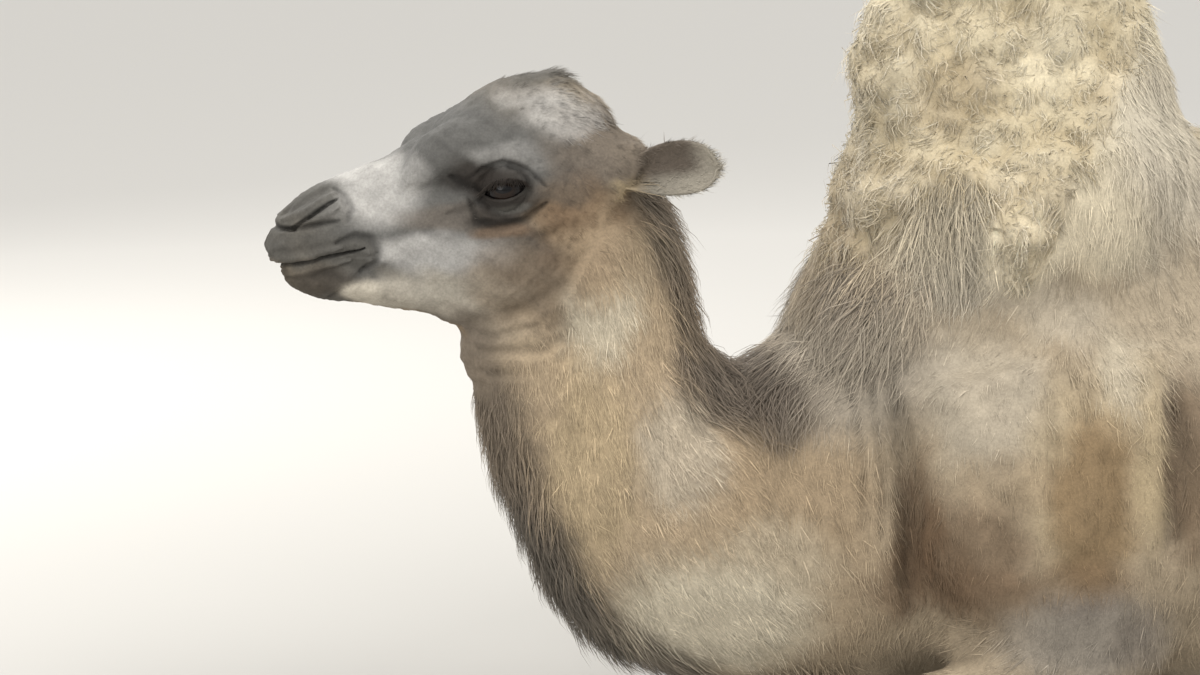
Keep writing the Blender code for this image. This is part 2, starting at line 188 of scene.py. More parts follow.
def ripple(points, scale, seed):
    """Smooth noise of about -1 to 1 from a few crossed waves."""
    rng = np.random.default_rng(seed)
    total = np.zeros(len(points))
    for step in range(9):
        direction = rng.normal(size=3)
        direction /= np.linalg.norm(direction)
        wave = 2 * math.pi * rng.uniform(0.6, 1.7) / scale
        total += np.sin(points @ direction * wave + rng.uniform(0, 2 * math.pi))
    return total / 4.0


def own_measure(points):
    """Frame points as (a, |y|, z)."""
    return np.column_stack([points[:, 0] - ZERO_A, np.abs(points[:, 1]), points[:, 2]])


def along_line(points, line):
    """Distance from points to a line of two or three numbers a point, and how far along it they are."""
    line = np.array(line, float)
    reach = np.concatenate([[0.0], np.cumsum(np.linalg.norm(np.diff(line, axis=0), axis=1))])
    nearest, share = np.full(len(points), np.inf), np.zeros(len(points))
    for start, end, low, high in zip(line, line[1:], reach, reach[1:]):
        run = end - start
        t = np.clip((points - start) @ run / (run @ run), 0.0, 1.0)
        away = np.linalg.norm(points - start - t[:, None] * run, axis=1)
        closer = away < nearest
        nearest[closer] = away[closer]
        share[closer] = (low + (high - low) * t[closer]) / reach[-1]
    return nearest, share


def near_line(place, line):
    """Distance, seen from the side, to a line of points (a, z)."""
    return along_line(place[:, [0, 2]], line)[0]


def near_band(place, line):
    """Distance to a line on the middle plane, measured so that a band reaches out over the sides."""
    return np.hypot(near_line(place, line), 0.30 * place[:, 1])


# ---------------------------------------------------------------- markings

# Soft spots in order: middle (a, y, z), radii, colour and strength. A later one lies over
# an earlier one, and both sides of the body are alike. A few stand for painted highlights
# and painted shade, each said where it stands.
SPOTS = [
    ("neck", (0.36, 0.00, 0.36), (0.17, 0.30, 0.20), "sand", 1.0),
    ("neck root", (0.50, 0.00, 0.25), (0.14, 0.30, 0.17), "sand", 0.8),
    ("chest tan", (0.505, 0.14, 0.310), (0.090, 0.14, 0.100), "rust", 0.28),
    ("chest rear light", (0.490, 0.14, 0.232), (0.070, 0.12, 0.050), "bone", 0.34),
    ("chest light", (0.42, 0.10, 0.165), (0.13, 0.10, 0.08), "bone", 0.75),
    ("neck side", (0.31, 0.07, 0.33), (0.05, 0.06, 0.12), "gold", 0.35),
    ("neck up", (0.325, 0.07, 0.485), (0.050, 0.07, 0.065), "bone", 0.68),
    ("neck pale", (0.40, 0.07, 0.34), (0.05, 0.06, 0.07), "silver", 0.50),
    ("withers grey", (0.56, 0.10, 0.44), (0.11, 0.16, 0.10), "ash", 0.85),
    ("under wool pale", (0.68, 0.17, 0.54), (0.10, 0.12, 0.08), "silver", 0.78),
    ("saddle low", (0.835, 0.18, 0.575), (0.075, 0.14, 0.070), "silver", 0.45),
    ("beside the lobe", (0.798, 0.18, 0.560), (0.060, 0.14, 0.055), "milk", 0.62),
    ("rib pale", (0.90, 0.20, 0.46), (0.15, 0.14, 0.14), "silver", 0.20),
    ("flank pale", (1.08, 0.20, 0.42), (0.16, 0.14, 0.14), "silver", 0.35),
    ("shoulder patch", (0.680, 0.20, 0.412), (0.080, 0.12, 0.092), "silver", 0.50),
    ("upper arm tan", (0.78, 0.21, 0.32), (0.075, 0.10, 0.120), "gold", 0.35),
    ("arm front brown", (0.664, 0.20, 0.245), (0.068, 0.12, 0.072), "bark", 0.62),
    ("arm front umber", (0.640, 0.20, 0.225), (0.040, 0.12, 0.050), "bark", 0.45),
    # Painted shade in the crease between chest and arm.
    ("arm front shade", (0.620, 0.20, 0.260), (0.022, 0.12, 0.110), "bark", 0.80),
    ("arm middle", (0.705, 0.20, 0.320), (0.060, 0.10, 0.034), "sand", 0.55),
    ("arm speckle", (0.784, 0.21, 0.295), (0.050, 0.12, 0.110), "rust", 0.82),
    # A painted highlight along the top of the upper arm.
    ("arm rim highlight", (0.818, 0.20, 0.425), (0.030, 0.12, 0.050), "bone", 0.40),
    ("arm rear edge", (0.846, 0.20, 0.345), (0.020, 0.12, 0.110), "gold", 0.40),
    ("arm low", (0.770, 0.20, 0.215), (0.070, 0.12, 0.034), "bark", 0.50),
    ("arm front low", (0.668, 0.20, 0.203), (0.072, 0.12, 0.040), "bark", 0.45),
    # Painted shade where the arm meets the chest.
    ("armpit", (0.606, 0.18, 0.205), (0.030, 0.12, 0.050), "bark", 0.60),
    ("above the arm", (0.764, 0.20, 0.478), (0.060, 0.12, 0.040), "silver", 0.45),
    ("elbow shade", (0.785, 0.20, 0.150), (0.125, 0.14, 0.075), "umber", 0.22),
    # The pale grey on the elbow is a painted highlight: a bluish sheen over the elbow's top.
    ("elbow", (0.785, 0.20, 0.164), (0.095, 0.12, 0.052), "pale_grey", 0.34),
    ("elbow grey", (0.790, 0.20, 0.170), (0.075, 0.12, 0.040), "grey", 0.30),
    ("elbow rear", (0.832, 0.20, 0.165), (0.036, 0.12, 0.040), "umber", 0.45),
    # The dark brown behind the arm: the hair's own brown, with painted shade in the gap between arm and
    # trunk.
    ("behind the arm", (0.886, 0.19, 0.330), (0.029, 0.12, 0.112), "bark", 0.64),
    ("belly", (1.050, 0.00, 0.080), (0.30, 0.25, 0.070), "ash", 0.50),
    ("thigh", (1.360, 0.24, 0.270), (0.130, 0.14, 0.150), "gold", 0.40),
    ("thigh back", (1.530, 0.15, 0.250), (0.080, 0.14, 0.140), "silver", 0.55),
    ("stifle", (1.180, 0.22, 0.110), (0.080, 0.10, 0.060), "rust", 0.35),
    ("flank hollow", (1.185, 0.22, 0.230), (0.050, 0.10, 0.100), "rust", 0.50),
    ("lower legs fore", (0.680, 0.16, 0.030), (0.280, 0.14, 0.055), "ash", 0.70),
    ("lower legs hind", (1.330, 0.22, 0.030), (0.300, 0.14, 0.055), "ash", 0.70),
    ("knees", (0.490, 0.165, 0.040), (0.050, 0.09, 0.055), "umber", 0.85),
    ("hocks", (1.560, 0.20, 0.050), (0.050, 0.09, 0.055), "umber", 0.55),
    ("fore toes", (0.908, 0.17, 0.015), (0.024, 0.07, 0.024), "umber", 0.55),
    ("hind toes", (1.086, 0.238, 0.015), (0.024, 0.07, 0.024), "umber", 0.55),
    ("fore toe cleft", (0.905, 0.169, 0.022), (0.040, 0.006, 0.035), "charcoal", 0.60),
    ("hind toe cleft", (1.088, 0.238, 0.022), (0.040, 0.006, 0.035), "charcoal", 0.60),
    ("tail tuft", (1.590, 0.00, 0.110), (0.060, 0.06, 0.070), "umber", 0.60),
    ("front hump", (0.765, 0.00, 0.760), (0.260, 0.30, 0.245), "cream", 1.0),
    ("rear hump", (1.200, 0.00, 0.740), (0.250, 0.30, 0.235), "cream", 1.0),
    ("saddle", (0.930, 0.10, 0.650), (0.140, 0.20, 0.120), "silver", 0.75),
    ("wool middle", (0.668, 0.14, 0.690), (0.055, 0.14, 0.050), "sand", 0.45),
    ("wool rear pale", (0.765, 0.14, 0.745), (0.060, 0.14, 0.050), "milk", 0.12),
    ("wool lobe", (0.724, 0.17, 0.548), (0.042, 0.10, 0.060), "milk", 1.0),
    # Painted light on the wool's front, which the lamps leave shaded.
    ("wool front painted light", (0.605, 0.06, 0.745), (0.060, 0.16, 0.080), "milk", 0.32),
    # Painted shadows under the wool's overhanging lower edge.
    ("shadow under the front wool", (0.580, 0.14, 0.508), (0.055, 0.14, 0.018), "umber", 0.48),
    ("shadow under the wool gap", (0.662, 0.15, 0.598), (0.024, 0.14, 0.016), "umber", 0.22),
    ("wool front low", (0.585, 0.14, 0.580), (0.060, 0.14, 0.060), "milk", 0.55),
    ("hump top gold", (0.765, 0.00, 0.930), (0.100, 0.12, 0.070), "gold", 0.50),
    ("rear hump top", (1.205, 0.00, 0.890), (0.090, 0.12, 0.070), "gold", 0.50),
    ("head", (0.180, 0.00, 0.590), (0.225, 0.20, 0.155), "grey", 1.0),
    ("cheek tan", (0.272, 0.07, 0.535), (0.070, 0.08, 0.060), "umber", 0.40),
    ("temple", (0.326, 0.06, 0.640), (0.064, 0.09, 0.062), "umber", 0.80),
    ("nose bridge", (0.094, 0.03, 0.602), (0.068, 0.080, 0.044), "pale_grey", 0.95),
    ("nose side grey", (0.176, 0.06, 0.573), (0.066, 0.06, 0.015), "umber", 0.55),
    ("crown pale", (0.298, 0.06, 0.676), (0.054, 0.06, 0.028), "pale_grey", 0.62),
    ("crown stripe", (0.252, 0.05, 0.692), (0.040, 0.05, 0.016), "pale_grey", 0.42),
    ("crown dark", (0.262, 0.00, 0.723), (0.095, 0.070, 0.032), "slate", 0.92),
    ("cheek pale", (0.160, 0.06, 0.538), (0.080, 0.08, 0.024), "pale_grey", 0.80),
    ("jaw pale", (0.160, 0.05, 0.498), (0.095, 0.08, 0.028), "silver", 0.52),
    ("jaw angle", (0.252, 0.05, 0.505), (0.066, 0.08, 0.048), "rust", 0.38),
    ("jaw angle shade", (0.245, 0.05, 0.515), (0.060, 0.08, 0.050), "umber", 0.32),
    ("behind the eye", (0.296, 0.07, 0.578), (0.060, 0.07, 0.034), "rust", 0.48),
    ("jowl", (0.330, 0.06, 0.540), (0.050, 0.08, 0.060), "sand", 0.95),
    ("jowl shade", (0.306, 0.06, 0.550), (0.050, 0.08, 0.050), "bark", 0.28),
    ("behind the eye brown", (0.292, 0.07, 0.590), (0.044, 0.07, 0.030), "bark", 0.48),
    ("ear base", (0.352, 0.06, 0.602), (0.022, 0.05, 0.018), "gold", 0.40),
    ("under the ear", (0.350, 0.06, 0.574), (0.020, 0.04, 0.020), "bark", 0.60),
    ("brow dark", (0.205, 0.06, 0.622), (0.055, 0.05, 0.016), "slate", 0.30),
    ("eye surround", (0.226, 0.08, 0.597), (0.048, 0.06, 0.029), "charcoal", 0.86),
    ("eye front", (0.196, 0.08, 0.609), (0.036, 0.06, 0.021), "charcoal", 0.85),
    ("under the eye", (0.226, 0.08, 0.559), (0.034, 0.06, 0.011), "bark", 0.62),
    # Painted shade in the crease under the eye.
    ("under-eye crease shade", (0.222, 0.08, 0.5705), (0.036, 0.06, 0.0075), "charcoal", 0.75),
    # Painted light on the bulge of the upper lid.
    ("upper lid", (0.232, 0.08, 0.634), (0.042, 0.06, 0.016), "pale_grey", 0.24),
    ("lower lid", (0.233, 0.08, 0.586), (0.022, 0.05, 0.0065), "slate", 0.85),
    ("eye tail", (0.280, 0.07, 0.602), (0.040, 0.06, 0.018), "slate", 0.45),
    ("nostril side", (0.052, 0.04, 0.576), (0.040, 0.05, 0.022), "slate", 0.70),
    ("nostril top", (0.036, 0.02, 0.597), (0.043, 0.06, 0.027), "slate", 0.95),
    ("muzzle end", (0.006, 0.00, 0.555), (0.030, 0.06, 0.040), "slate", 0.90),
    ("upper lip", (0.040, 0.03, 0.542), (0.060, 0.07, 0.017), "slate", 0.85),
    ("lower lip", (0.040, 0.03, 0.506), (0.054, 0.07, 0.022), "charcoal", 0.76),
    ("lip corner", (0.090, 0.04, 0.537), (0.020, 0.05, 0.017), "slate", 0.80),
    ("behind the lip", (0.092, 0.04, 0.498), (0.022, 0.06, 0.018), "silver", 0.65),
    ("chin", (0.058, 0.00, 0.487), (0.038, 0.06, 0.013), "slate", 0.70),
]
THROAT_LINE = ((0.185, 0.430), (0.197, 0.400), (0.215, 0.330), (0.243, 0.243), (0.297, 0.150),
               (0.400, 0.075))
# Long soft bands: points (a, z) on the middle plane, half width, colour and strength.
BANDS = [
    ("throat stripe", THROAT_LINE, 0.055, "umber", 0.80),
    ("throat low", ((0.232, 0.265), (0.250, 0.225), (0.297, 0.140), (0.360, 0.085)),
     0.050, "slate", 0.58),
    ("nape stripe", ((0.385, 0.600), (0.420, 0.540), (0.436, 0.450), (0.450, 0.415),
                     (0.490, 0.405)), 0.042, "umber", 0.76),
    ("withers tuft", ((0.440, 0.405), (0.500, 0.385)), 0.050, "umber", 0.75),
    ("jaw edge", ((0.090, 0.478), (0.130, 0.466), (0.175, 0.452)), 0.016, "rust", 0.55),
]


def coat_colours(points):
    """Colour of the coat at each point of the body, from the markings."""
    palette = bpy.context.scene.camel_colours
    wander = own_measure(points) + 0.006 * np.column_stack([ripple(points, 0.05, seed)
                                                            for seed in (1, 2, 3)])
    colours = np.tile(np.array(palette.fawn), (len(points), 1))
    for name, middle, radii, colour, strength in SPOTS:
        weight = strength * zone(wander, middle, radii, 0.55, 1.15)[:, None]
        colours = mixed(colours, np.array(getattr(palette, colour)), weight)
    for name, line, half, colour, strength in BANDS:
        weight = strength * fade(near_band(wander, line) / half, 0.45, 1.25)[:, None]
        colours = mixed(colours, np.array(getattr(palette, colour)), weight)
    shade = 1 + 0.09 * ripple(points, 0.035, 11) + 0.07 * ripple(points, 0.012, 12)
    return np.clip(colours * shade[:, None], 0.003, 0.95)


# ---------------------------------------------------------------- lie and depth of the coat

# Which way the hair lies: place (a, y, z) and direction (back, out, up).
LIE = [
    ((0.010, 0.02, 0.56), (0.6, 0.2, 0.9)), ((0.030, 0.03, 0.53), (1.0, 0.2, -0.1)),
    ((0.080, 0.03, 0.60), (1.0, 0.1, 0.3)), ((0.060, 0.04, 0.50), (1.0, 0.0, -0.2)),
    ((0.150, 0.05, 0.62), (1.0, 0.1, 0.5)), ((0.150, 0.05, 0.54), (1.0, 0.0, -0.1)),
    ((0.200, 0.05, 0.66), (0.9, 0.0, 0.6)), ((0.260, 0.03, 0.71), (1.0, 0.0, 0.1)),
    ((0.330, 0.04, 0.68), (0.8, 0.1, -0.5)), ((0.220, 0.08, 0.57), (1.0, 0.0, -0.3)),
    ((0.290, 0.08, 0.60), (0.9, 0.0, -0.4)), ((0.200, 0.04, 0.48), (1.0, 0.0, -0.3)),
    ((0.270, 0.06, 0.50), (0.5, 0.0, -0.9)), ((0.200, 0.02, 0.42), (0.0, 0.1, -1.0)),
    ((0.300, 0.06, 0.45), (0.05, 0.0, -1.0)), ((0.430, 0.03, 0.50), (0.35, 0.1, -1.0)),
    ((0.210, 0.02, 0.33), (0.1, 0.1, -1.0)), ((0.330, 0.07, 0.35), (0.25, 0.0, -1.0)),
    ((0.450, 0.07, 0.38), (0.6, 0.2, -0.7)), ((0.300, 0.05, 0.17), (0.6, 0.1, -0.8)),
    ((0.450, 0.09, 0.22), (0.6, 0.1, -0.8)), ((0.420, 0.03, 0.08), (1.0, 0.1, -0.2)),
    ((0.580, 0.12, 0.25), (0.2, 0.1, -1.0)), ((0.600, 0.05, 0.08), (0.6, 0.0, -0.6)),
    ((0.500, 0.08, 0.44), (-1.00, 0.3, -0.7)), ((0.540, 0.10, 0.50), (-1.00, 0.3, -0.9)),
    ((0.600, 0.14, 0.56), (-0.60, 0.3, -1.0)), ((0.655, 0.16, 0.57), (-0.20, 0.2, -1.0)),
    ((0.640, 0.17, 0.49), (-0.70, 0.2, -1.0)), ((0.670, 0.20, 0.40), (-0.35, 0.1, -1.0)),
    ((0.700, 0.20, 0.38), (0.1, 0.1, -1.0)), ((0.760, 0.21, 0.28), (0.1, 0.0, -1.0)),
    ((0.800, 0.21, 0.17), (-0.3, 0.0, -1.0)), ((0.650, 0.17, 0.10), (-1.0, 0.0, -0.3)),
    ((0.520, 0.15, 0.06), (-0.6, 0.0, -0.7)), ((0.650, 0.16, 0.02), (1.0, 0.0, 0.0)),
    ((0.850, 0.18, 0.02), (1.0, 0.0, 0.0)), ((0.900, 0.20, 0.45), (0.5, 0.1, -1.0)),
    ((1.050, 0.23, 0.35), (0.7, 0.0, -0.9)), ((1.050, 0.15, 0.12), (0.9, 0.0, -0.5)),
    ((0.970, 0.05, 0.65), (0.8, 0.5, -0.2)), ((0.765, 0.08, 0.85), (0.0, 0.5, -1.0)),
    ((0.620, 0.05, 0.75), (-0.3, 0.2, -1.0)), ((0.900, 0.05, 0.75), (0.4, 0.3, -1.0)),
    ((0.770, 0.16, 0.62), (0.0, 0.4, -1.0)), ((1.200, 0.08, 0.82), (0.1, 0.5, -1.0)),
    ((1.340, 0.05, 0.72), (0.6, 0.3, -0.9)), ((1.080, 0.05, 0.74), (-0.2, 0.3, -1.0)),
    ((1.250, 0.20, 0.50), (0.7, 0.1, -0.9)), ((1.400, 0.15, 0.50), (0.8, 0.2, -0.6)),
    ((1.520, 0.08, 0.42), (0.7, 0.2, -0.8)), ((1.400, 0.24, 0.30), (0.2, 0.0, -1.0)),
    ((1.250, 0.24, 0.17), (-0.5, 0.0, -0.9)), ((1.570, 0.08, 0.25), (0.1, 0.2, -1.0)),
    ((1.350, 0.22, 0.10), (1.0, 0.0, -0.1)), ((1.520, 0.19, 0.06), (0.8, 0.0, -0.5)),
    ((1.350, 0.22, 0.02), (-1.0, 0.0, 0.0)), ((1.150, 0.25, 0.02), (-1.0, 0.0, 0.0)),
    ((1.600, 0.00, 0.30), (0.05, 0.0, -1.0)), ((1.590, 0.00, 0.12), (0.0, 0.0, -1.0)),
]
LIE_REACH = 0.070


def lie_of_coat(points, normals):
    """Unit directions along the skin that the hair follows."""
    place = own_measure(points)
    middles = np.array([where for where, way in LIE])
    ways = unit(np.array([way for where, way in LIE], float))
    flow = np.empty_like(points)
    for part in chunks(len(points)):
        apart = np.linalg.norm(place[part, None, :] - middles[None], axis=2)
        apart -= apart.min(axis=1, keepdims=True)
        weight = np.exp(-(apart / LIE_REACH) ** 2 * 4)
        flow[part] = weight @ ways
    flow[:, 1] *= np.where(points[:, 1] < 0, -1.0, 1.0)
    return unit(flattened(flow, normals))


# Head and neck are parted by a line that leans back from the corner of the jaw to the poll.
JAW_CORNER = (0.236, 0.436)
JAW_SLANT = (0.809, 0.588)


def behind_jaw(place):
    """Distance behind the line that parts head and neck. It is negative on the head."""
    return ((place[:, 0] - JAW_CORNER[0]) * JAW_SLANT[0]
            - (place[:, 2] - JAW_CORNER[1]) * JAW_SLANT[1])


def is_head(place):
    """1 on the head, 0 behind the jaw and poll."""
    return fade(behind_jaw(place) / 0.03, -0.6, 0.8)


def head_and_throat(place):
    """1 on the face, falling slowly over the throat, so that the coat deepens gently."""
    return fade(behind_jaw(place) / 0.07, -0.9, 0.9)


# Distance back and height of the wool's lower edge on the front hump. The rear hump's edge is
# the same one, a step further back.
WOOL_EDGE = (
    (0.490, 0.512), (0.560, 0.518), (0.590, 0.540), (0.625, 0.562), (0.637, 0.596), (0.650, 0.612),
    (0.676, 0.612), (0.692, 0.588), (0.705, 0.520), (0.724, 0.504), (0.744, 0.518), (0.766, 0.600),
    (0.800, 0.640), (0.840, 0.690), (0.875, 0.760), (0.925, 0.860),
)
HUMP_STEP = 0.435
# Height of the edge where no wool grows, far above the camel.
NO_WOOL = 2.0


def wool_edge(back):
    """Height of the ragged lower edge of the wool at each distance back, alike on both humps."""
    own = np.where(back < WOOL_EDGE[0][0] + HUMP_STEP, back, back - HUMP_STEP)
    backs, heights = np.array(WOOL_EDGE).T
    edge = np.interp(own, backs, heights, left=NO_WOOL)
    return edge + 0.006 * np.sin(back * 190) + 0.005 * np.sin(back * 83)


def is_wool(place):
    """1 where the humps' wool grows, with a ragged lower edge."""
    woolly = np.max([
        zone(place, (0.77, 0, 0.70), (0.245, 0.30, 0.30), 0.9, 1.05),
        zone(place, (1.20, 0, 0.70), (0.235, 0.30, 0.30), 0.9, 1.05),
        zone(place, (0.600, 0.10, 0.600), (0.115, 0.16, 0.105), 0.85, 1.05),
        zone(place, (0.724, 0.18, 0.550), (0.050, 0.10, 0.070), 0.85, 1.05),
    ], axis=0)
    return woolly * fade((wool_edge(place[:, 0]) - place[:, 2]) / 0.018, -0.5, 0.5)


# How far the skin lies under the tips of the coat, and how much less under the first wool.
BODY_DEPTH = 0.0072
LEG_DEPTH = 0.0050
SOLE_DEPTH = 0.0015
FACE_DEPTH = 0.0022
THROAT_EXTRA = 0.003
WOOL_DEPTH = 0.024
FRONT_WOOL_LESS = 0.010


def coat_depth(place):
    """How far the skin lies under the tips of the coat at each place."""
    low = fade((place[:, 2] - 0.12) / 0.05, 0.0, 1.0)
    sole = fade((place[:, 2] - 0.006) / 0.010, 0.0, 1.0)
    depth = mixed(mixed(BODY_DEPTH, LEG_DEPTH, low), SOLE_DEPTH, sole)
    depth += THROAT_EXTRA * fade(near_line(place, THROAT_LINE) / 0.06, 0.2, 1.0)
    wool = is_wool(place) * fade((0.645 - place[:, 2]) / 0.060, -0.5, 0.5)
    front = fade((place[:, 0] - 0.600) / 0.080, -0.5, 0.5)
    depth = mixed(depth, WOOL_DEPTH - FRONT_WOOL_LESS * front, wool)
    return mixed(depth, FACE_DEPTH, head_and_throat(place))


# ---------------------------------------------------------------- meshes

def in_scene(name, data):
    """A new object that holds the data."""
    thing = bpy.data.objects.new(name, data)
    bpy.context.scene.collection.objects.link(thing)
    return thing


def new_piece(name, mesh, material, slot, *replaced):
    """Object at the origin that rides on the body, with its material and the nodes it replaces. The slot
    is not used.
    """
    piece = in_scene(name, mesh)
    mesh.materials.clear()
    mesh.materials.append(material)
    mesh.polygons.foreach_set("material_index", np.zeros(len(mesh.polygons), np.int32))
    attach(piece, "root")
    if replaced:
        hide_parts(*replaced)
    return piece


def mesh_from(build, name):
    """A new mesh from a bmesh, which is then freed."""
    mesh = bpy.data.meshes.new(name)
    build.to_mesh(mesh)
    build.free()
    return mesh


def merged_copy(names, swell):
    """One mesh of merged copies of the named nodes, each grown by a little so that they overlap."""
    whole = bmesh.new()
    for name in names:
        part = bmesh.new()
        part.from_mesh(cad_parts[name].data)
        bmesh.ops.remove_doubles(part, verts=part.verts, dist=2e-5)
        part.normal_update()
        for vert in part.verts:
            vert.co += vert.normal * swell
        passing = mesh_from(part, "passing")
        whole.from_mesh(passing)
        bpy.data.meshes.remove(passing)
    return mesh_from(whole, "merged")


def modified(mesh, kind, **settings):
    """The mesh after one modifier."""
    holder = in_scene("holder", mesh)
    modifier = holder.modifiers.new(kind, kind)
    for key, value in settings.items():
        setattr(modifier, key, value)
    bpy.context.view_layer.update()
    graph = bpy.context.evaluated_depsgraph_get()
    result = bpy.data.meshes.new_from_object(holder.evaluated_get(graph), depsgraph=graph)
    bpy.data.objects.remove(holder)
    return result


def united(mesh, other):
    """Boolean union of two closed meshes."""
    helper = in_scene("helper", other)
    result = modified(mesh, "BOOLEAN", object=helper, operation="UNION", solver="MANIFOLD")
    bpy.data.objects.remove(helper)
    return result


def points_of(mesh):
    """The mesh's points as rows of x, y and z."""
    points = np.empty(len(mesh.vertices) * 3)
    mesh.vertices.foreach_get("co", points)
    return points.reshape(-1, 3)


def normals_of(mesh):
    """The mesh's smooth normals, one a point."""
    normals = np.empty(len(mesh.vertices) * 3)
    mesh.vertices.foreach_get("normal", normals)
    return normals.reshape(-1, 3)


def set_points(mesh, points):
    """Moves the mesh's points there."""
    mesh.vertices.foreach_set("co", points.ravel())
    mesh.update()


def above_floor(points):
    """The points, with none lower than just above the floor."""
    points[..., 2] = np.maximum(points[..., 2], FLOOR_GAP)
    return points


def relaxed(mesh, points, rounds, held=0.0):
    """Points after smoothing along the mesh's edges, freely where held is 0 and not at all at 1."""
    ends = np.empty(len(mesh.edges) * 2, int)
    mesh.edges.foreach_get("vertices", ends)
    first, second = ends.reshape(-1, 2).T
    count = np.bincount(ends, minlength=len(points))[:, None]
    share = 0.5 * (1 - np.reshape(held, (-1, 1)))
    for step in range(rounds):
        total = np.zeros_like(points)
        for axis in range(3):
            total[:, axis] = (np.bincount(first, points[second, axis], len(points))
                              + np.bincount(second, points[first, axis], len(points)))
        points = points + share * (total / np.maximum(count, 1) - points)
    return points


def largest_only(mesh):
    """Removes every loose island but the one with most points."""
    build = bmesh.new()
    build.from_mesh(mesh)
    seen, islands = set(), []
    for start in build.verts:
        if start in seen:
            continue
        island, rim = [start], [start]
        seen.add(start)
        while rim:
            vert = rim.pop()
            for edge in vert.link_edges:
                other = edge.other_vert(vert)
                if other not in seen:
                    seen.add(other)
                    island.append(other)
                    rim.append(other)
        islands.append(island)
    keep = max(islands, key=len)
    doomed = [vert for island in islands if island is not keep for vert in island]
    bmesh.ops.delete(build, geom=doomed, context="VERTS")
    build.to_mesh(mesh)
    build.free()


def refine(mesh, wanted):
    """Halves the edges whose middle is wanted, and splits faces of more than four corners into
    triangles.
    """
    build = bmesh.new()
    build.from_mesh(mesh)
    build.edges.ensure_lookup_table()
    middles = np.array([(edge.verts[0].co + edge.verts[1].co) / 2 for edge in build.edges])
    chosen = wanted(own_measure(middles))
    edges = [edge for edge, pick in zip(build.edges, chosen) if pick]
    bmesh.ops.subdivide_edges(build, edges=edges, cuts=1, use_grid_fill=True)
    bmesh.ops.triangulate(build, faces=[face for face in build.faces if len(face.verts) > 4])
    build.to_mesh(mesh)
    build.free()


# ---------------------------------------------------------------- folds and forms of the skin

